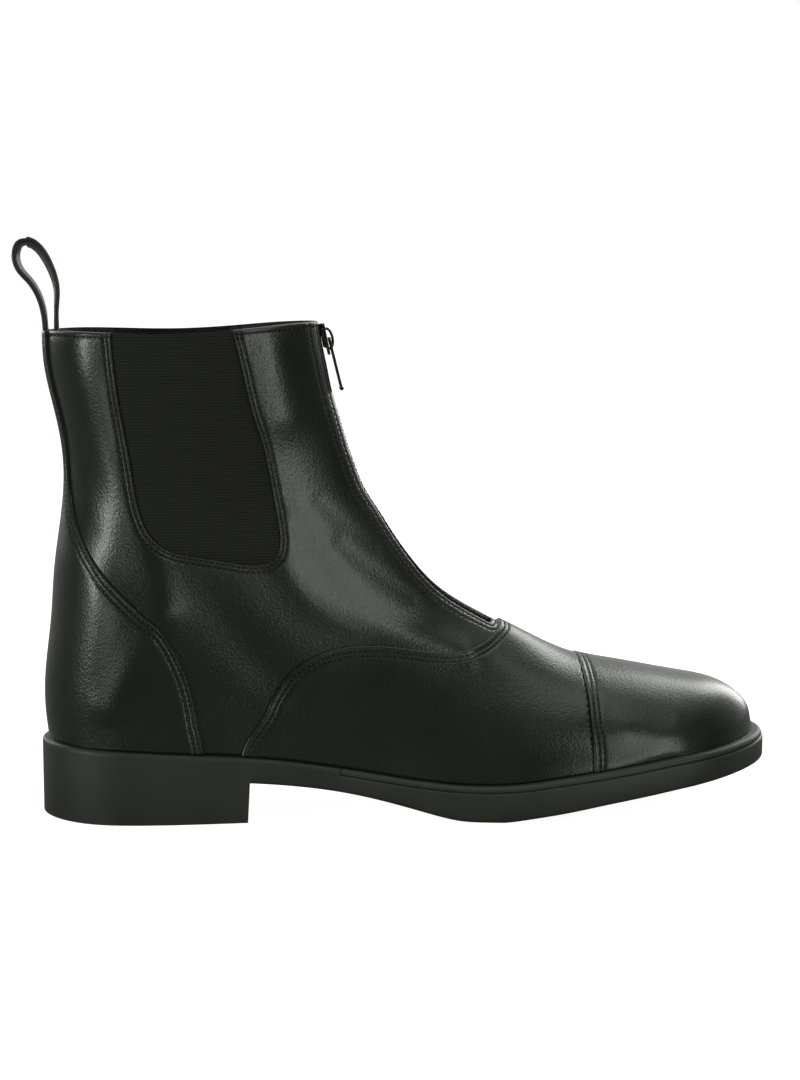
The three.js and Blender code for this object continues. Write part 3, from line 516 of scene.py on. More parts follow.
def lay_folds(points, normals):
    """Raise the soft folds of the worn-in leather, and sink its hollows."""
    rise = np.zeros(len(points))
    inner = points[:, 1] > 0
    for height, width, inner_share, line in FOLDS.values():
        line = path_through(line)[0](np.linspace(0, 1, 25))
        distance = np.abs(side_distance(points, line))
        rise += height * np.exp(-((distance / width) ** 2)) * np.where(inner, inner_share, 1.0)
    return points + normals * rise[:, None]


def make_last_skin():
    """The fine skin on which every leather and elastic piece is cut."""
    shaft = np.arange(SHAFT_ROWS) / SHAFT_ROWS
    foot = 1 + (1 - np.cos(np.linspace(0, math.pi, FOOT_ROWS + 1))) / 2
    runs = np.concatenate([shaft, foot])
    run, turn = np.meshgrid(runs, np.linspace(0, 2, TURNS + 1), indexing="ij")
    points = upper_points(run, turn).reshape(-1, 3)
    index = np.arange(len(points)).reshape(run.shape)
    index[: SHAFT_ROWS + 1, -1] = index[: SHAFT_ROWS + 1, 0]
    a, b = index[:-1, :-1].ravel(), index[1:, :-1].ravel()
    c, d = index[1:, 1:].ravel(), index[:-1, 1:].ravel()
    across = np.linalg.norm(points[a] - points[c], axis=1)
    shorter = across < np.linalg.norm(points[b] - points[d], axis=1)
    first = np.column_stack([a, b, np.where(shorter, c, d)])
    second = np.column_stack([np.where(shorter, a, b), c, d])
    faces = np.concatenate([first, second])
    corners = points[faces]
    normal = np.cross(corners[:, 1] - corners[:, 0], corners[:, 2] - corners[:, 0])
    real = (normal**2).sum(axis=1) > 1e-12
    faces, normal = faces[real], normal[real]
    normals = np.zeros_like(points)
    for corner in range(3):
        np.add.at(normals, faces[:, corner], normal)
    standing = points[:, 2] - feather_z(points[:, 0]) - GAP
    normals[:, 2] *= smoothstep(standing, 0, 2 * WALL) * smoothstep(run.ravel(), 0, 0.03)
    normals /= np.maximum(np.linalg.norm(normals, axis=1), 1e-9)[:, None]
    x_tip = front_path(THROAT_END)[0]
    above_end = (THROAT_END - fan_front(run.ravel())) * front_length
    facing = (points[:, 0] > 60) & (points[:, 0] < x_tip + 40)
    slot = np.maximum(np.abs(points[:, 1]) - ZIP_OPENING / 2, -above_end)
    values = {
        "run": run.ravel().copy(),
        "share": fan_front(run.ravel()),
        "collar": run.ravel() * (COLLAR_HEIGHT - SEAT_HEIGHT),
        "throat": np.where(facing, slot, FAR),
    }
    skin = Skin(points, faces, normals, values).keep(slice(None))
    set_distance(skin, "collar", [upper_points(np.zeros(900), np.linspace(0, 2, 900))])
    add_seam(skin, "gore", side_distance(skin.points, seam_line(GORE)))
    add_seam(skin, "counter", -side_distance(skin.points, seam_line(COUNTER)))
    add_seam(skin, "vamp", -side_distance(skin.points, seam_line(VAMP)))
    add_seam(skin, "cap", side_distance(skin.points, seam_line(CAP_EDGE)))
    add_seam(skin, "throat", skin.values["throat"])
    skin.points = lay_folds(skin.points, skin.normals)
    return skin


def rounded(distance, radius):
    """Rise of a rounded edge, 0 at the edge and 1 from its radius on."""
    return np.sqrt(1 - (1 - np.clip(distance / radius, 0, 1)) ** 2)


def trough(distance, width):
    """Depth of a soft groove, 1 in its middle."""
    return np.exp(-((distance / width) ** 2))


def split_round(skin, name, radius, sign=1):
    """Cut a skin along the lines that a rounded edge needs."""
    for share in (0.12, 0.35, 0.65, 1.0):
        split(skin, name, sign * radius * share)


def split_row(skin, name, row):
    """Cut a skin along the lines that a stitch row's groove needs."""
    for step in (-0.9, -0.45, 0, 0.45, 0.9):
        split(skin, name, row + step)


def free_edges(faces):
    """Directed edges that only one face has."""
    edges = np.concatenate([faces[:, [0, 1]], faces[:, [1, 2]], faces[:, [2, 0]]])
    size = faces.max() + 1
    forth, reverse = edges[:, 0] * size + edges[:, 1], edges[:, 1] * size + edges[:, 0]
    return edges[~np.isin(forth, reverse)]


def with_rim(points, faces, normals, depth):
    """Close the free edges of a skin with a band that turns in by a depth."""
    edges = free_edges(faces)
    used, place = np.unique(edges, return_inverse=True)
    place = place.reshape(-1, 2) + len(points)
    lower = points[used] - normals[used] * depth
    first = np.column_stack([edges[:, 1], edges[:, 0], place[:, 0]])
    second = np.column_stack([edges[:, 1], place[:, 0], place[:, 1]])
    return np.concatenate([points, lower]), np.concatenate([faces, first, second])


def make_piece(name, points, faces, material, nodes=(), body="boot", sharp=None):
    """A smooth shaded mesh from points in millimetres, riding on a body."""
    placed = (np.asarray(points) - (HEEL_LENGTH / 2, 0, 0)) * MM
    mesh = bpy.data.meshes.new(name)
    mesh.from_pydata(placed.tolist(), [], [list(map(int, face)) for face in faces])
    mesh.polygons.foreach_set("use_smooth", [True] * len(mesh.polygons))
    if sharp is not None:
        mesh.set_sharp_from_angle(angle=math.radians(sharp))
    mesh.materials.append(material)
    mesh.update()
    piece = bpy.data.objects.new(name, mesh)
    bpy.context.scene.collection.objects.link(piece)
    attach(piece, body)
    if nodes:
        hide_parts(*nodes)
    return piece


def chains(edges):
    """Join edges end to end into lines of point numbers."""
    links = {}
    for a, b in edges.tolist():
        links.setdefault(a, []).append(b)
        links.setdefault(b, []).append(a)
    lines = []
    starts = sorted(links, key=lambda point: len(links[point]) != 1)
    for start in starts:
        while links.get(start):
            line = [start]
            while links.get(line[-1]):
                here = line[-1]
                there = links[here].pop()
                links[there].remove(here)
                line.append(there)
            lines.append(line)
    return lines


def tube_sides(rings, count):
    """Quads between rings of points, each ring joined to the next."""
    quads = []
    for low in range(0, (rings - 1) * count, count):
        for i in range(count):
            j = (i + 1) % count
            quads.append((low + i, low + j, low + count + j, low + count + i))
    return quads


def stitch_shape():
    """Points and faces of one stitch about its middle, whose ends dip into the leather."""
    along = np.linspace(-1, 1, STITCH_RINGS)
    swell = STITCH_RADIUS * np.sqrt(np.clip(1 - (0.93 * along) ** 4, 0.05, 1))
    angle = np.linspace(0, 2 * math.pi, STITCH_SIDES, endpoint=False)
    rows = [
        (a * STITCH_LENGTH / 2, s * math.cos(t), s * math.sin(t) - STITCH_DIP * a**2)
        for a, s in zip(along, swell)
        for t in angle
    ]
    faces = [(a, d, c, b) for a, b, c, d in tube_sides(STITCH_RINGS, STITCH_SIDES)]
    last = STITCH_RINGS * STITCH_SIDES - 1
    faces += [tuple(range(STITCH_SIDES)), tuple(range(last, last - STITCH_SIDES, -1))]
    return np.array(rows), faces


STITCH_POINTS, STITCH_FACES = stitch_shape()


class Thread:
    """Rows of stitches and the dark discs of painted shade at their needle holes, gathered for one piece of
    leather.
    """

    def __init__(self):
        self.stitches, self.holes = [], []

    def sew(self, line, normals):
        """Stitch along a line of points with the surface's normals."""
        step = np.linalg.norm(np.diff(line, axis=0), axis=1)
        keep = np.concatenate([[True], step > 1e-4])
        line, normals = line[keep], normals[keep]
        if len(line) < 2:
            return
        marks = np.concatenate([[0], np.cumsum(np.linalg.norm(np.diff(line, axis=0), axis=1))])
        number = int(marks[-1] / STITCH_PITCH)
        if number < 1:
            return

        def at(rows, where):
            return np.column_stack([np.interp(where, marks, rows[:, k]) for k in range(3)])

        centres = (np.arange(number) + 0.5) * marks[-1] / number
        half = STITCH_LENGTH / 2
        middle, up = at(line, centres), at(normals, centres)
        forward = at(line, np.minimum(centres + half, marks[-1])) - at(line, np.maximum(centres - half, 0))
        forward /= np.linalg.norm(forward, axis=1)[:, None]
        sideways = np.cross(up, forward)
        sideways /= np.linalg.norm(sideways, axis=1)[:, None]
        for centre, f, s in zip(middle, forward, sideways):
            u = np.cross(f, s)
            axes = np.stack([f, s, u])
            self.stitches.append(centre + u * STITCH_LIFT + STITCH_POINTS @ axes)
            # Each needle hole gets a flat dark disc, painted shade for the inside of the hole
            self.holes.append((centre - f * STITCH_PITCH / 2 + u * HOLE_LIFT, axes))

    def finish(self, name):
        """Make the pieces of thread and of painted shade at the needle holes."""
        count = len(STITCH_POINTS)
        starts = range(0, len(self.stitches) * count, count)
        faces = [tuple(start + k for k in face) for start in starts for face in STITCH_FACES]
        stitches = make_piece(name + "_stitching", np.concatenate(self.stitches), faces, black_thread)
        angle = np.linspace(0, 2 * math.pi, HOLE_SIDES, endpoint=False)
        disc = HOLE_RADIUS * np.column_stack([np.cos(angle), np.sin(angle), 0 * angle])
        points = np.concatenate([place + disc @ axes for place, axes in self.holes])
        faces = np.arange(len(points)).reshape(-1, HOLE_SIDES)
        make_piece(name + "_needle_holes", points, faces, needle_hole_shade)


def anywhere(values, point):
    return True


def under_collar(values, point):
    return values["collar"][point] > STITCH_START


def short_of_cap(values, point):
    return values["cap"][point] < -1


def sew_level(thread, skin, points, name, level, wanted=anywhere):
    """Stitch along one level of a skin's value, where the place is wanted."""
    for line in chains(level_edges(skin, name, level)):
        runs, current = [], []
        for point in line:
            if wanted(skin.values, point):
                current.append(point)
            elif current:
                runs.append(current)
                current = []
        runs.append(current)
        for part in runs:
            if len(part) > 2:
                thread.sew(points[part], skin.normals[part])


# Materials


def new_material(name, **settings):
    """A material with its Principled shader, whose sockets take the settings."""
    material = bpy.data.materials.new(name)
    material.use_nodes = True
    shader = material.node_tree.nodes["Principled BSDF"]
    for socket, value in settings.items():
        shader.inputs[socket.replace("_", " ")].default_value = value
    return material, material.node_tree, shader


def add_node(tree, kind, values=(), **settings):
    """A node with values on its sockets and settings of its own."""
    made = tree.nodes.new(kind)
    for key, value in settings.items():
        setattr(made, key, value)
    for socket, value in dict(values).items():
        made.inputs[socket].default_value = value
    return made


def join(tree, *links):
    for source, target in links:
        tree.links.new(source, target)


def noise(tree, vector, scale, detail=2.0, roughness=0.5):
    """A cloud of noise over the surface, placed by a vector where one is given."""
    values = {"Scale": scale, "Detail": detail, "Roughness": roughness}
    made = add_node(tree, "ShaderNodeTexNoise", values)
    if vector is not None:
        join(tree, (vector, made.inputs["Vector"]))
    return made.outputs["Fac"]


def on_object(tree):
    return add_node(tree, "ShaderNodeTexCoord").outputs["Object"]


def maths(tree, operation, *sources):
    """A Math node whose inputs are sockets or plain numbers."""
    made = add_node(tree, "ShaderNodeMath", operation=operation)
    for i, source in enumerate(sources):
        if isinstance(source, float):
            made.inputs[i].default_value = source
        else:
            join(tree, (source, made.inputs[i]))
    return made.outputs[0]


def new_group(name, inputs, outputs):
    """A node group with named inputs and outputs, and its two end nodes."""
    group = bpy.data.node_groups.new(name, "ShaderNodeTree")
    for label, kind, default in inputs:
        socket = group.interface.new_socket(name=label, in_out="INPUT", socket_type=kind)
        if default is not None:
            socket.default_value = default
    for label, kind in outputs:
        group.interface.new_socket(name=label, in_out="OUTPUT", socket_type=kind)
    return group, group.nodes.new("NodeGroupInput"), group.nodes.new("NodeGroupOutput")


def make_grain_group():
    """Pebbled leather grain with fine pores, and a slow cloud for colour and gloss."""
    group, given, put = new_group(
        "leather grain",
        [("Scale", "NodeSocketFloat", 1.0)],
        [("Height", "NodeSocketFloat"), ("Cloud", "NodeSocketFloat")],
    )
    place = on_object(group)
    sized = add_node(group, "ShaderNodeVectorMath", operation="SCALE")
    warp = add_node(group, "ShaderNodeTexNoise", {"Scale": 260.0, "Detail": 2.0})
    bent = add_node(group, "ShaderNodeMixRGB", {"Fac": 0.0012}, blend_type="ADD")
    sizes = {"Scale": 880.0, "Smoothness": 0.35}
    pebble = add_node(group, "ShaderNodeTexVoronoi", sizes, feature="SMOOTH_F1")
    join(
        group,
        (place, sized.inputs[0]),
        (given.outputs["Scale"], sized.inputs["Scale"]),
        (sized.outputs[0], warp.inputs["Vector"]),
        (sized.outputs[0], bent.inputs[1]),
        (warp.outputs["Color"], bent.inputs[2]),
        (bent.outputs[0], pebble.inputs["Vector"]),
    )
    pores = noise(group, sized.outputs[0], 2300.0, 3.0, 0.6)
    wrinkle = noise(group, sized.outputs[0], 480.0, 3.0, 0.55)
    pitted = maths(group, "MULTIPLY_ADD", pores, 0.45, pebble.outputs["Distance"])
    join(
        group,
        (maths(group, "MULTIPLY_ADD", wrinkle, 0.8, pitted), put.inputs["Height"]),
        (noise(group, place, 24.0, 3.0), put.inputs["Cloud"]),
    )
    return group


def make_weave_group():
    """Crossed threads of a woven cloth, as a height."""
    group, given, put = new_group(
        "cloth weave",
        [("Threads", "NodeSocketFloat", 1600.0)],
        [("Height", "NodeSocketFloat"), ("Fuzz", "NodeSocketFloat")],
    )
    place = on_object(group)
    parts = add_node(group, "ShaderNodeSeparateXYZ")
    join(group, (place, parts.inputs[0]))
    across = maths(group, "ADD", parts.outputs["X"], parts.outputs["Y"])
    waves = [
        maths(group, "SINE", maths(group, "MULTIPLY", way, given.outputs["Threads"]))
        for way in (across, parts.outputs["Z"])
    ]
    join(
        group,
        (maths(group, "MULTIPLY", *waves), put.inputs["Height"]),
        (noise(group, place, 1500.0, 3.0), put.inputs["Fuzz"]),
    )
    return group


GRAIN = make_grain_group()
WEAVE = make_weave_group()


def ramp(tree, source, dark, light, low=0.3, high=0.7):
    """A colour between two, driven by a value."""
    made = add_node(tree, "ShaderNodeValToRGB")
    made.color_ramp.elements[0].position, made.color_ramp.elements[1].position = low, high
    made.color_ramp.elements[0].color, made.color_ramp.elements[1].color = (*dark, 1), (*light, 1)
    join(tree, (source, made.inputs["Fac"]))
    return made.outputs["Color"]


def spread(tree, source, low, high, source_low=0.3, source_high=0.7):
    """A number between two, driven by a value."""
    values = {"From Min": source_low, "From Max": source_high, "To Min": low, "To Max": high}
    made = add_node(tree, "ShaderNodeMapRange", values)
    join(tree, (source, made.inputs["Value"]))
    return made.outputs["Result"]


def bump(tree, source, shader, distance, strength=1.0):
    made = add_node(tree, "ShaderNodeBump", {"Distance": distance * MM, "Strength": strength})
    join(tree, (source, made.inputs["Height"]), (made.outputs["Normal"], shader.inputs["Normal"]))


def leather_material(name, scale=1.15, grain=0.062, gloss=(0.27, 0.36)):
    """Smooth black leather with a fine grain and an uneven gloss."""
    settings = {"Specular_IOR_Level": 0.42, "Coat_Weight": 0.12, "Coat_Roughness": 0.2}
    material, tree, shader = new_material(name, **settings)
    grain_node = add_node(tree, "ShaderNodeGroup", node_tree=GRAIN)
    grain_node.inputs["Scale"].default_value = scale
    colour = ramp(tree, grain_node.outputs["Cloud"], (0.0058, 0.0092, 0.0066), (0.0098, 0.0145, 0.0108))
    join(tree, (colour, shader.inputs["Base Color"]))
    join(tree, (spread(tree, grain_node.outputs["Cloud"], *gloss), shader.inputs["Roughness"]))
    bump(tree, grain_node.outputs["Height"], shader, grain)
    return material


def cloth_material(name, colour, threads):
    """Woven cloth with a little fuzz."""
    settings = {"Roughness": 0.9, "Specular_IOR_Level": 0.2, "Sheen_Weight": 0.15}
    material, tree, shader = new_material(name, **settings)
    weave = add_node(tree, "ShaderNodeGroup", node_tree=WEAVE)
    weave.inputs["Threads"].default_value = threads
    tint = ramp(tree, weave.outputs["Fuzz"], [0.7 * c for c in colour], [1.3 * c for c in colour])
    join(tree, (tint, shader.inputs["Base Color"]))
    bump(tree, weave.outputs["Height"], shader, 0.2)
    return material


def elastic_material():
    """Elastic with fine ribs across and finer threads down, coloured darker in the rib grooves as painted
    shade and lighter on the crests as painted highlight.
    """
    material, tree, shader = new_material("ribbed elastic", Roughness=0.85, Specular_IOR_Level=0.22)
    place = on_object(tree)
    parts = add_node(tree, "ShaderNodeSeparateXYZ")
    join(tree, (place, parts.inputs[0]))
    ribs, threads = (
        maths(tree, "SINE", maths(tree, "MULTIPLY", parts.outputs[way], 2 * math.pi / (pitch * MM)))
        for way, pitch in (("Z", RIB_PITCH), ("X", THREAD_PITCH))
    )
    height = maths(tree, "MULTIPLY_ADD", threads, 0.3, ribs)
    share = spread(tree, height, 0.0, 1.0, -1.3, 1.3)
    # The colour follows the rib height: painted shade in the grooves between ribs and painted highlight on
    # the crests, with a little random fuzz
    rib_shade_and_fuzz = maths(tree, "MULTIPLY_ADD", noise(tree, place, 900.0, 3.0), 0.35, share)
    tint = ramp(tree, rib_shade_and_fuzz, (0.0115, 0.0122, 0.0107), (0.0200, 0.0210, 0.0188), 0.1, 1.1)
    join(tree, (tint, shader.inputs["Base Color"]))
    bump(tree, height, shader, 0.11)
    return material


def rubber_material():
    """Moulded rubber with a fine, even grain."""
    material, tree, shader = new_material("moulded rubber", Specular_IOR_Level=0.3)
    place = on_object(tree)
    cloud = noise(tree, place, 35.0, 4.0)
    tint = ramp(tree, cloud, (0.0225, 0.0255, 0.0200), (0.0330, 0.0370, 0.0292))
    join(tree, (tint, shader.inputs["Base Color"]))
    join(tree, (spread(tree, cloud, 0.42, 0.56), shader.inputs["Roughness"]))
    bump(tree, noise(tree, place, 1400.0, 3.0, 0.6), shader, 0.03)
    return material


def metal_material():
    """Black lacquer over metal."""
    material, tree, shader = new_material("black lacquered metal", Metallic=0.85, Roughness=0.28)
    cloud = noise(tree, on_object(tree), 500.0, 4.0)
    join(tree, (ramp(tree, cloud, (0.03, 0.03, 0.03), (0.07, 0.07, 0.068)), shader.inputs["Base Color"]))
    join(tree, (spread(tree, cloud, 0.22, 0.36), shader.inputs["Roughness"]))
    return material


def thread_material():
    """Twisted black thread."""
    material, tree, shader = new_material("black thread", Roughness=0.55, Specular_IOR_Level=0.4)
    twist = noise(tree, on_object(tree), 2600.0)
    join(tree, (ramp(tree, twist, (0.006, 0.007, 0.006), (0.016, 0.018, 0.016)), shader.inputs["Base Color"]))
    bump(tree, twist, shader, 0.05)
    return material


def mottled_material(name, scale, dark, light, **settings):
    """A plain dark material whose colour changes a little over the surface."""
    material, tree, shader = new_material(name, **settings)
    tint = ramp(tree, noise(tree, None, scale), (dark,) * 3, (light,) * 3)
    join(tree, (tint, shader.inputs["Base Color"]))
    return material


smooth_leather = leather_material("black smooth leather")
cap_leather = leather_material("black toe cap leather", 1.15, 0.055, (0.29, 0.37))
ribbed_elastic = elastic_material()
moulded_rubber = rubber_material()
lacquered_metal = metal_material()
black_thread = thread_material()
# The needle hole discs are near black: painted shade standing in for the inside of each hole
needle_hole_shade = mottled_material("needle hole", 1500.0, 0.0015, 0.003, Roughness=1.0, Specular_IOR_Level=0.05)
zip_cloth = cloth_material("zip tape cloth", (0.012, 0.012, 0.0115), 2400.0)
strap_leather = leather_material("pull loop strap", 1.6, 0.04, (0.4, 0.5))
lining_cloth = cloth_material("lining cloth", (0.03, 0.03, 0.028), 2000.0)
insole_cloth = cloth_material("insole cover", (0.028, 0.028, 0.026), 1800.0)
zip_plastic = mottled_material(
    "zip tooth plastic", 700.0, 0.012, 0.022, Roughness=0.6, Specular_IOR_Level=0.25
)


# Upper and its panels


EDGE_ROUND = 0.7
COLLAR_ROUND = 1.0
ROW_DEPTH = 0.22
ZIP_ROW_DEPTH = 0.18
ROW_WIDTH = 0.5
PANEL_ROW_DEPTH = 0.24
PANEL_ROW_WIDTH = 0.55
PANEL_RIM = 0.6
GORE_SUNK = 0.6
GORE_EDGE_SUNK = 0.5
GORE_THICKNESS = 1.8

last_skin = make_last_skin()


def make_upper():
    """Quarters and shaft, cut out for the gores and the zip, with the edges turned in."""
    skin = last_skin.copy()
    for row in GORE_ROWS:
        split_row(skin, "gore", row)
    split_round(skin, "gore", EDGE_ROUND, -1)
    split_round(skin, "throat", EDGE_ROUND)
    split_round(skin, "collar", COLLAR_ROUND)
    split_row(skin, "collar", COLLAR_ROW)
    share = np.clip(skin.values["share"] / THROAT_END, 0, 1)
    zip_rows = {"zip_row": ZIP_ROW, "zip_row_wide": WIDE_ZIP_ROW}
    for name, (at_collar, at_end) in zip_rows.items():
        skin.values[name] = skin.values["throat"] - lerp(at_collar, at_end, share)
    for name in zip_rows:
        split_row(skin, name, 0.0)
    skin = skin.keep(skin.where("gore", high=0) & skin.where("throat", low=0))
    gore, collar, throat = (skin.values[name] for name in ("gore", "collar", "throat"))
    offset = EDGE_ROUND * (rounded(-gore, EDGE_ROUND) + rounded(throat, EDGE_ROUND) - 2)
    offset += COLLAR_ROUND * (rounded(collar, COLLAR_ROUND) - 1)
    for row in GORE_ROWS:
        offset -= ROW_DEPTH * trough(gore - row, ROW_WIDTH)
    on_leather = smoothstep(-gore, 0, 1) * smoothstep(throat, 0, 1)
    offset -= ROW_DEPTH * trough(collar - COLLAR_ROW, ROW_WIDTH) * on_leather
    for name in zip_rows:
        offset -= ZIP_ROW_DEPTH * trough(skin.values[name], ROW_WIDTH)
    points = skin.points + skin.normals * offset[:, None]
    shell = with_rim(points, skin.faces, skin.normals, WALL / 2)
    make_piece("upper_leather", *shell, smooth_leather, ["upper"])

    def bare(values, point):
        return values["vamp"][point] < -0.5 and under_collar(values, point)

    def clear_of_seams(values, point):
        gore, throat, counter = (values[name][point] for name in ("gore", "throat", "counter"))
        return gore < -3.6 and throat > 1.5 and counter < -0.4

    thread = Thread()
    for row in GORE_ROWS:
        sew_level(thread, skin, points, "gore", row, under_collar)
    for name in zip_rows:
        sew_level(thread, skin, points, name, 0.0, bare)
    sew_level(thread, skin, points, "collar", COLLAR_ROW, clear_of_seams)
    thread.finish("upper")


def make_panel(name, field, rows, height, material, node, wanted=anywhere, stop=None):
    """An overlay of leather on one side of its seam, stitched down along its edge."""
    skin = last_skin.copy()
    split_round(skin, field, EDGE_ROUND)
    for row in rows:
        split_row(skin, field, row)
    reaches_collar = field == "counter"
    if reaches_collar:
        split_round(skin, "collar", COLLAR_ROUND)
    keep = skin.where(field, low=0)
    if stop:
        keep &= skin.where(stop, high=0)
    skin = skin.keep(keep)
    value = skin.values[field]
    offset = height * rounded(value, EDGE_ROUND)
    for row in rows:
        offset -= PANEL_ROW_DEPTH * trough(value - row, PANEL_ROW_WIDTH)
    if reaches_collar:
        offset -= height * (1 - rounded(skin.values["collar"], COLLAR_ROUND))
    points = skin.points + skin.normals * offset[:, None]
    shell = with_rim(points, skin.faces, skin.normals, PANEL_RIM)
    make_piece(name, *shell, material, [node])
    thread = Thread()
    for row in rows:
        sew_level(thread, skin, points, field, row, wanted)
    thread.finish(name)


def make_lining():
    """Inner face of the upper."""
    skin = last_skin.copy()
    split_round(skin, "collar", COLLAR_ROUND)
    skin = skin.keep(skin.where("gore", high=0) & skin.where("throat", low=0))
    inner = COLLAR_ROUND * (1 - rounded(skin.values["collar"], COLLAR_ROUND))
    points = skin.points + skin.normals * (inner - WALL)[:, None]
    faces = skin.faces[:, ::-1]
    make_piece("lining", points, faces, lining_cloth)


def make_gores():
    """Elastic sides, drawn in a little below the leather."""
    skin = last_skin.copy()
    split(skin, "gore", -1.0)
    skin = skin.keep(skin.where("gore", low=-1.0))
    sides = skin.points[skin.faces].mean(axis=1)[:, 1]
    for name, chosen in (("outer", sides < 0), ("inner", sides > 0)):
        part = skin.keep(chosen)
        sunk = GORE_SUNK + GORE_EDGE_SUNK * trough(part.values["gore"], 2.0)
        points = part.points - part.normals * sunk[:, None]
        shell = with_rim(points, part.faces, part.normals, 1.0)
        count = len(shell[0])
        inner = part.points - part.normals * GORE_THICKNESS
        back = part.faces[:, ::-1] + count
        both = np.concatenate([shell[0], inner]), np.concatenate([shell[1], back])
        make_piece("elastic_gore_" + name, *both, ribbed_elastic, ["gore_" + name])


make_upper()
make_lining()
make_gores()
make_panel(
    "heel_counter_leather", "counter", COUNTER_ROWS, PANEL, smooth_leather, "heel_counter", under_collar
)
make_panel(
    "vamp_leather", "vamp", VAMP_ROWS, PANEL, smooth_leather, "vamp", short_of_cap, stop="cap"
)
make_panel("toe_cap_leather", "cap", CAP_ROWS, CAP, cap_leather, "toe_cap")


# Sole and insole


def plan_ring(stations):
    """Points round the plan of the last, with their outward directions."""
    tip = front_path(1.0)[0]
    halves = []
    for side, plan in ((-1, outer_plan), (1, inner_plan)):
        width = BALL_WIDTH * plan(stations / SOLE_LENGTH)
        ridge = BALL_WIDTH * ridge_at(stations / SOLE_LENGTH)
        back = (1 - np.exp(-((np.maximum(stations - SEAT_BACK, 0) / HEEL_ROUNDING) ** 2))) ** 0.25
        share = np.clip((stations - FEATHER_X) / (tip - FEATHER_X), 0, 1)
        front = (1 - share ** fan_first(2.0)) ** (1 / fan_second(2.0))
        halves.append(ridge + side * (width - side * ridge) * back * front)
    outer = np.column_stack([stations, halves[0]])
    inner = np.column_stack([stations, halves[1]])[1:-1][::-1]
    ring = np.concatenate([outer, inner])
    along = np.roll(ring, -1, axis=0) - np.roll(ring, 1, axis=0)
    along /= np.linalg.norm(along, axis=1)[:, None]
    return ring, np.column_stack([along[:, 1], -along[:, 0]])


def stations_of(steps, pairs=()):
    """Places along the sole, close at its ends, with room made for each pair of steps."""
    places = lerp(SEAT_BACK, front_path(1.0)[0], (1 - np.cos(np.linspace(0, math.pi, steps + 1))) / 2)
    clear = np.ones(len(places), bool)
    for low, high in pairs:
        clear &= (places < low - STEP_WIDTH) | (places > high + STEP_WIDTH)
    return np.sort(np.concatenate([places[clear], *pairs]))


def ring_mesh(rings):
    """Points and faces of a closed solid from rings, lowest first."""
    count = len(rings[0])
    faces = tube_sides(len(rings), count)
    for base, up in ((0, False), ((len(rings) - 1) * count, True)):
        for i in range(count // 2):
            quad = [base + i, base + i + 1, base + count - i - 1, base + (count - i) % count]
            quad = list(dict.fromkeys(quad))
            faces.append(tuple(quad if up else quad[::-1]))
    return np.concatenate(rings), faces


def rim_at(x):
    return RIM_BASE + lerp(HEEL_RIM, TOE_RIM, smoothstep(x / SOLE_LENGTH, 0.25, 0.95))


def underside_z(x):
    return np.where(x < HEEL_LENGTH, 0, SEAT_HEIGHT * np.maximum(tread_at(x / SOLE_LENGTH), 0))


def make_sole():
    """Sole and heel in one, with a grooved rim in front of the waist."""
    start = GROOVE_START * SOLE_LENGTH
    pairs = [(HEEL_LENGTH - BREAST_RAKE, HEEL_LENGTH), (start - STEP_WIDTH, start)]
    ring, out = plan_ring(stations_of(SOLE_STEPS, pairs))
    x = ring[:, 0]
    heel = x < HEEL_LENGTH
    base = underside_z(x)

    def level(inset, height):
        return np.column_stack([ring + out * (rim_at(x) - inset)[:, None], height])

    rounding = np.where(heel, HEEL_EDGE, TREAD_EDGE)
    crown = np.where(heel, 0, TREAD_CROWN)
    rings = [level(CROWN_INSET + 0 * x, base), level(CROWN_INSET / 2 + 0 * x, base + crown * 0.35)]
    for angle in np.radians((0, 22, 45, 68, 90)):
        rings.append(level(rounding * (1 - math.sin(angle)), base + crown + rounding * (1 - math.cos(angle))))
    top = feather_z(x)
    for depth, grooved, plain in RIM_PROFILE[::-1]:
        rings.append(level(np.where(x < start, plain, grooved), top - depth))
    rings.append(level(rim_at(x) - TOP_INSET, top))
    make_piece("sole_and_heel", *ring_mesh(rings), moulded_rubber, ["sole_unit"], sharp=38)


def make_insole():
    """Insole board with its cloth cover."""
    ring, out = plan_ring(stations_of(INSOLE_STEPS))
    base = feather_z(ring[:, 0]) + GAP

    def level(inset, height):
        return np.column_stack([ring - out * inset, base + height])

    rings = [level(INSOLE_INSET, 0)]
    for c, s in ((1, 0), (0.87, 0.5), (0.5, 0.87), (0, 1)):
        rings.append(level(INSOLE_INSET + INSOLE_EDGE * (1 - c), INSOLE + INSOLE_EDGE * (s - 1)))
    make_piece("insole_cover", *ring_mesh(rings), insole_cloth, ["insole"])


make_sole()
make_insole()


# Zip


def front_frame(share):
    """Places and outward directions on the front of the upper."""
    here = front_path(share)
    along = front_path(np.asarray(share) + 0.002) - here
    along /= np.linalg.norm(along, axis=-1)[..., None]
    return here, np.stack([-along[..., 1], along[..., 0]], axis=-1)


def box_mesh(size, bevel):
    """Points and faces of a box with bevelled edges, about its middle."""
    block = bmesh.new()
    bmesh.ops.create_cube(block, size=1)
    bmesh.ops.scale(block, vec=size, verts=block.verts)
    bmesh.ops.bevel(block, geom=block.edges[:], offset=bevel, segments=2, affect="EDGES", profile=0.5)
    block.verts.index_update()
    points = np.array([vert.co[:] for vert in block.verts])
    faces = [tuple(vert.index for vert in face.verts) for face in block.faces]
    block.free()
    return points, faces


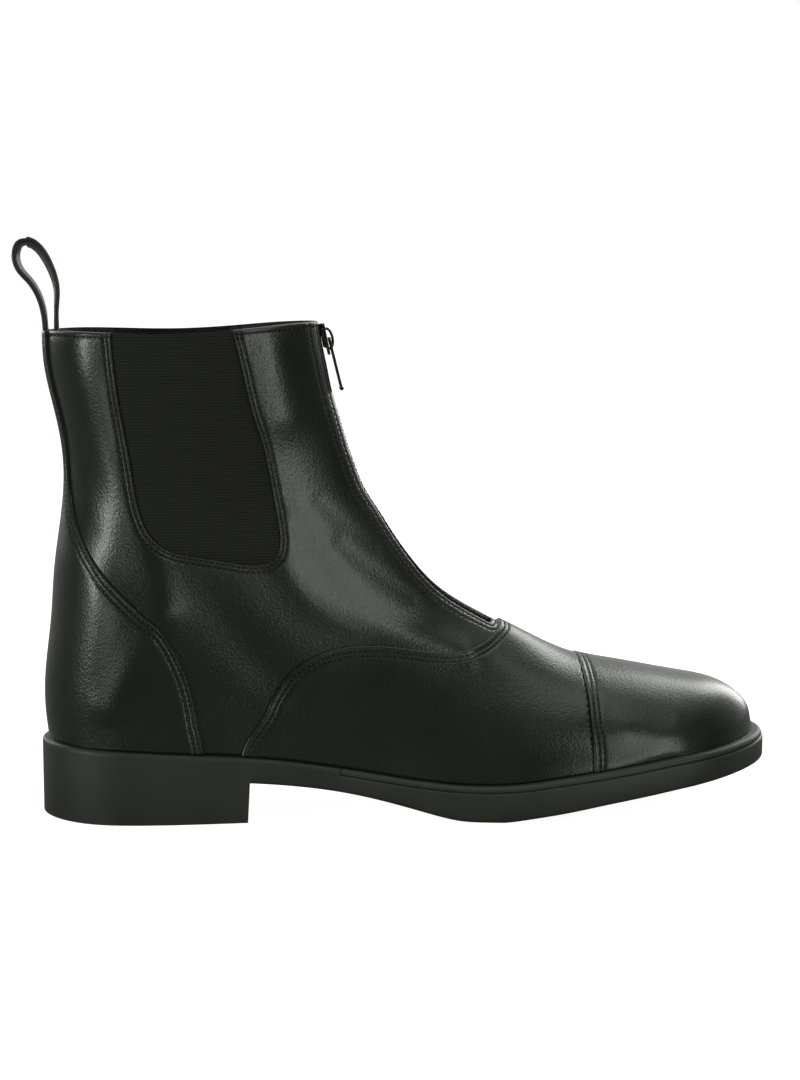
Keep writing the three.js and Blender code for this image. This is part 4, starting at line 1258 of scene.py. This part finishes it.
def make_zip():
    """Tape behind the throat, and two rows of teeth that mesh."""
    skin = last_skin.copy()
    skin.values["tape"] = np.where(skin.values["throat"] < REACH - 1, np.abs(skin.points[:, 1]), FAR)
    split(skin, "tape", TAPE_WIDTH / 2)
    split(skin, "share", THROAT_END)
    skin = skin.keep(skin.where("tape", high=TAPE_WIDTH / 2) & skin.where("share", TAPE_TOP, THROAT_END))
    points = skin.points - skin.normals * (WALL + TAPE_BEHIND)
    shell = with_rim(points, skin.faces, skin.normals, TAPE_THICKNESS)
    make_piece("zip_tape_cloth", *shell, zip_cloth, ["zip_tape"])
    first = (SLIDER_DOWN - TEETH_OVER_HINGE) / front_length
    last = THROAT_END - TEETH_STOP / front_length
    number = int((last - first) * front_length / TOOTH_PITCH)
    here, out = front_frame(np.linspace(first, last, number))
    tooth, tooth_faces = box_mesh(TOOTH_SIZE, TOOTH_BEVEL)
    points, faces = [], []
    for i, ((x, z), (ox, oz)) in enumerate(zip(here, out)):
        along = np.array([oz, 0, -ox])
        outward = np.array([ox, 0, oz])
        side = -1 if i % 2 else 1
        centre = np.array([x, side * TOOTH_SIDE, z]) + outward * TEETH_LEVEL
        points.append(centre + tooth @ np.stack([along, [0, 1, 0], outward]))
        faces += [tuple(len(tooth) * i + k for k in face) for face in tooth_faces]
    make_piece("zip_chain", np.concatenate(points), faces, zip_plastic, ["zip_teeth"])


HINGE_RISE = TAB_THICKNESS / 2 + TAB_PLAY
hinge_here, hinge_out = front_frame(SLIDER_DOWN / front_length)
HINGE = hinge_here + hinge_out * (TEETH_PROUD + GAP + SLIDER_PLATE + HINGE_RISE)


def turned(points, lean):
    """Points about the hinge in side view, leant forward and put in place."""
    points = np.asarray(points, float)
    angle = -math.radians(lean)
    x = points[:, 0] * math.cos(angle) + points[:, 2] * math.sin(angle)
    z = -points[:, 0] * math.sin(angle) + points[:, 2] * math.cos(angle)
    return np.column_stack([x + HINGE[0], points[:, 1], z + HINGE[1]])


def close_up(piece, weld=0.0):
    """Weld corners that meet and turn the faces of a piece outwards."""
    edit = bmesh.new()
    edit.from_mesh(piece.data)
    if weld:
        bmesh.ops.remove_doubles(edit, verts=edit.verts[:], dist=weld)
    bmesh.ops.recalc_face_normals(edit, faces=edit.faces[:])
    edit.to_mesh(piece.data)
    edit.free()


def round_edges(piece, width, sharper_than):
    rounding = piece.modifiers.new("rounded edges", "BEVEL")
    rounding.width, rounding.segments = width * MM, 3
    rounding.angle_limit = math.radians(sharper_than)


def bevelled(name, outlines, lean, bevel, node, body):
    """One metal piece from flat outlines, each given as points and a span, its edges bevelled."""
    points, faces = [], []
    for corners, offset in outlines:
        count, base = len(corners), len(points)
        points += [tuple(np.add(corner, side)) for side in offset for corner in corners]
        faces.append(tuple(range(base + count - 1, base - 1, -1)))
        faces.append(tuple(range(base + count, base + 2 * count)))
        for i in range(count):
            j = (i + 1) % count
            faces.append((base + i, base + j, base + count + j, base + count + i))
    piece = make_piece(name, turned(points, lean), faces, lacquered_metal, [node], body, sharp=50)
    close_up(piece)
    round_edges(piece, bevel, 40)


def arc(low, high, steps):
    return np.radians(np.linspace(low, high, steps))


def rounded_box(wide, high, radii, start, steps):
    """Outline of a rectangle about its middle, from a starting angle, with a radius for each corner."""
    outline = []
    for i, radius in enumerate(radii):
        turn = start + 90 * i
        y = math.copysign(wide / 2 - radius, math.cos(math.radians(turn + 45)))
        z = math.copysign(high / 2 - radius, math.sin(math.radians(turn + 45)))
        outline += [(y + radius * math.cos(t), z + radius * math.sin(t)) for t in arc(turn, turn + 90, steps)]
    return outline


SLIDER_FACE = -HINGE_RISE
ACROSS_BRIDGE = ((0, -BRIDGE_WIDTH / 2, 0), (0, BRIDGE_WIDTH / 2, 0))


def make_slider():
    """Slider: plate with turned-in wings, and the neck under its upper end."""
    face = SLIDER_FACE
    half, long = SLIDER_WIDTH / 2, SLIDER_LENGTH / 2
    radii = (LOWER_CORNER, UPPER_CORNER, UPPER_CORNER, LOWER_CORNER)
    plate = [(face, y, z) for y, z in rounded_box(SLIDER_WIDTH, SLIDER_LENGTH, radii, -90, 6)]
    outlines = [(plate, ((-SLIDER_PLATE, 0, 0), (0, 0, 0)))]
    for side in (-1, 1):
        y = side * half * WING_INSET
        wing = [(face - WING_TOP, y, long * share) for share in WING_SPAN]
        wing += [(face - WING_DEPTH, y, long * share) for share in WING_FOOT]
        outlines.append((wing, ((0, 0, 0), (0, -side * WING_THICKNESS, 0))))
    top, sunk = face - NECK_TOP, face - SLIDER_PLATE - TEETH_PROUD - GAP - WALL / 2
    neck = [(top, 0, long - NECK_LENGTH), (top, 0, long), (sunk, 0, long), (sunk, 0, long - NECK_LENGTH)]
    outlines.append((neck, ACROSS_BRIDGE))
    bevelled("zip_slider_metal", outlines, SLIDER_LEAN, METAL_ROUND, "zip_slider", "boot")


def arch(grow):
    """Side view of the bridge's inner line, or of one further out."""
    rise = HINGE_RISE + TAB_THICKNESS / 2 + TAB_PLAY
    reach = BRIDGE_LENGTH / 2 - BRIDGE_BAR
    return [
        (SLIDER_FACE + (rise + grow) * max(math.sin(t), 0) ** 0.8, 0, (reach + grow) * math.cos(t))
        for t in arc(0, 180, 17)
    ]


def make_bridge():
    """The slider's bridge, one bent bar with a smooth outline."""
    outer, inner = arch(BRIDGE_BAR), arch(0)
    foot = SLIDER_FACE - SLIDER_PLATE / 2
    bow = [(foot, 0, outer[0][2]), *outer, (foot, 0, outer[-1][2])]
    hollow = [(foot, 0, inner[0][2]), *inner, (foot, 0, inner[-1][2])]
    points, faces = [], []
    for i in range(len(bow) - 1):
        corners = bow[i], bow[i + 1], hollow[i + 1], hollow[i]
        base = len(points)
        points += [tuple(np.add(corner, side)) for side in ACROSS_BRIDGE for corner in corners]
        faces += [(base + 3, base + 2, base + 1, base), (base + 4, base + 5, base + 6, base + 7)]
        faces += [(base, base + 1, base + 5, base + 4), (base + 2, base + 3, base + 7, base + 6)]
    piece = make_piece("zip_slider_bridge", turned(points, SLIDER_LEAN), faces, lacquered_metal, sharp=50)
    close_up(piece, weld=1e-6)
    round_edges(piece, BRIDGE_ROUND, 50)


def make_pull_tab():
    """Flat tab with a window over the bridge and a thicker end."""
    half, wide = TAB_THICKNESS / 2, TAB_WIDTH / 2
    eye = BRIDGE_WIDTH / 2 + TAB_PLAY
    window = -BRIDGE_LENGTH / 2 - TAB_PLAY
    end = -TAB_LENGTH
    through = ((-half, 0, 0), (half, 0, 0))
    bar = [(0, -wide, -half), (0, wide, -half), (0, wide, half), (0, -wide, half)]
    left = [(0, -wide, window), (0, -eye, window), (0, -eye, -half), (0, -wide, -half)]
    right = [(0, eye, window), (0, wide, window), (0, wide, -half), (0, eye, -half)]
    blade = [(0, -wide, end + TAB_BEAD), (0, wide, end + TAB_BEAD), (0, wide, window), (0, -wide, window)]
    bead = TAB_BEAD / 2
    knob = [(bead * math.cos(t), 0, end + bead + bead * math.sin(t)) for t in arc(0, 345, 16)]
    across = ((0, -wide, 0), (0, wide, 0))
    outlines = [(shape, through) for shape in (bar, left, right, blade)] + [(knob, across)]
    bevelled("zip_pull_tab_metal", outlines, TAB_LEAN, TAB_ROUND, "zip_pull_tab", "pull_tab")


make_zip()
make_slider()
make_bridge()
make_pull_tab()


# Pull loop


def inward_of(line):
    """Directions to the right of a line in side view."""
    along = np.gradient(line, axis=0)
    along /= np.linalg.norm(along, axis=1)[:, None]
    return np.column_stack([along[:, 1], -along[:, 0]])


def make_pull_loop():
    """Leather strap folded into a loop with a slight twist, its ends tucked inside the back."""
    top = np.array([back_x(COLLAR_HEIGHT), COLLAR_HEIGHT])
    path, _ = path_through(top + np.array(LOOP) * (LOOP_SPREAD, LOOP_HEIGHT))
    outer = path(np.linspace(0, 1, LOOP_STEPS))
    middle = outer + inward_of(outer) * LOOP_BAND / 2
    tuck = np.linspace(LOOP_TUCK, TUCK_TOP, TUCK_STEPS)[:, None] * (0, -1)
    ease = smoothstep(np.linspace(0, 1, TUCK_STEPS), 0, 1)[:, None]
    inside = back_x(COLLAR_HEIGHT - LOOP_TUCK) + WALL + TUCK_INSET
    first, last = (lerp(np.array([inside, end[1]]), end, ease) + tuck for end in middle[[0, -1]])
    middle = np.concatenate([first, middle, last[::-1]])
    inward, number = inward_of(middle), len(middle)
    twist = np.radians(LOOP_TWIST) * np.sin(np.linspace(0, math.pi, number)) ** 2
    twist *= np.where(np.arange(number) > number / 2, 1, REAR_TWIST)
    across, out = np.array(rounded_box(LOOP_WIDTH, LOOP_BAND, (LOOP_EDGE,) * 4, 0, 4)).T
    c, d = np.cos(twist)[:, None], np.sin(twist)[:, None]
    y, depth = across * c - out * d, across * d + out * c
    x, z = (middle[:, way, None] + inward[:, way, None] * depth for way in (0, 1))
    points = np.stack([x, y, z], axis=-1)
    count = len(across)
    faces = tube_sides(number, count)
    faces += [tuple(range(count))[::-1], tuple(range((number - 1) * count, number * count))]
    make_piece("pull_loop_strap", points.reshape(-1, 3), faces, strap_leather, ["pull_loop"], sharp=60)


make_pull_loop()


# Floor, light and camera


FLOOR = 6.0


def stage():
    """Pale floor, paler for the camera than for what the boot mirrors of it."""
    mesh = bpy.data.meshes.new("floor")
    corners = [(-FLOOR, -FLOOR, 0), (FLOOR, -FLOOR, 0), (FLOOR, FLOOR, 0), (-FLOOR, FLOOR, 0)]
    mesh.from_pydata(corners, [], [(0, 1, 2, 3)])
    floor = bpy.data.objects.new("floor", mesh)
    bpy.context.scene.collection.objects.link(floor)
    paper, tree, shader = new_material("pale paper", Roughness=0.9, Specular_IOR_Level=0.1)
    seen = add_node(tree, "ShaderNodeLightPath").outputs["Is Camera Ray"]
    join(
        tree,
        (spread(tree, seen, 0.2, 0.36, 0, 1), shader.inputs["Base Color"]),
        (spread(tree, seen, 0.0, 0.96, 0, 1), shader.inputs["Emission Strength"]),
    )
    shader.inputs["Emission Color"].default_value = (1, 1, 1, 1)
    mesh.materials.append(paper)


STUDIO_WHITE = (0.955, 1.0, 0.925)


def add_light(name, azimuth, elevation, distance, size, radiance, aim=(0.1, 0.0, 0.08)):
    """A soft box seen from the boot at an azimuth and an elevation in degrees, facing it."""
    a, e = math.radians(azimuth), math.radians(elevation)
    way = Vector((math.sin(a) * math.cos(e), -math.cos(a) * math.cos(e), math.sin(e)))
    data = bpy.data.lights.new(name, "AREA")
    data.shape, data.size, data.size_y = "RECTANGLE", *size
    data.energy = radiance * math.pi * size[0] * size[1]
    data.color = STUDIO_WHITE
    light = bpy.data.objects.new(name, data)
    light.location = Vector(aim) + way * distance
    light.rotation_euler = way.to_track_quat("Z", "Y").to_euler()
    light.visible_camera = False
    bpy.context.scene.collection.objects.link(light)


def light_scene():
    """A white surround that the boot mirrors darkly in front, with strips and cards of light."""
    world = bpy.data.worlds.new("studio")
    bpy.context.scene.world = world
    world.use_nodes = True
    tree = world.node_tree
    background = tree.nodes["Background"]
    background.inputs["Color"].default_value = (1, 1, 1, 1)
    place = add_node(tree, "ShaderNodeTexCoord")
    parts = add_node(tree, "ShaderNodeSeparateXYZ")
    join(tree, (place.outputs["Generated"], parts.inputs[0]))
    behind = spread(tree, parts.outputs["Y"], 0.09, 0.8, -0.1, 0.7)
    seen = add_node(tree, "ShaderNodeLightPath").outputs["Is Camera Ray"]
    join(tree, (maths(tree, "MAXIMUM", behind, seen), background.inputs["Strength"]))
    add_light("overhead", 20, 82, 1.3, (1.3, 0.9), 1.5)
    add_light("left strip", -58, 1, 1.3, (0.19, 0.9), 18)
    add_light("right strip", 36, 19, 1.5, (0.2, 1.3), 7.5)
    add_light("low right card", 29, -5.5, 1.2, (0.24, 0.09), 10, (0.05, -0.02, 0.168))
    add_light("low left card", -33, -6, 0.4, (0.1, 0.06), 4.5, (-0.012, -0.029, 0.073))
    add_light("far left", -140, 20, 1.5, (0.5, 0.9), 5)
    add_light("far right", 138, 25, 1.5, (0.4, 1.2), 6)


def add_camera():
    """The camera, at the photograph's viewing angle."""
    data = bpy.data.cameras.new("camera")
    data.sensor_width, data.lens = 36.0, 72.4
    data.clip_start, data.clip_end = 0.05, 50
    camera = bpy.data.objects.new("camera", data)
    camera.location = (0.0125, -0.8563, 0.224)
    camera.rotation_euler = Euler((math.radians(90 - 7.8), 0, math.radians(-6.0)))
    bpy.context.scene.collection.objects.link(camera)
    bpy.context.scene.camera = camera


stage()
light_scene()
add_camera()
bpy.context.scene.view_settings.view_transform = "Standard"
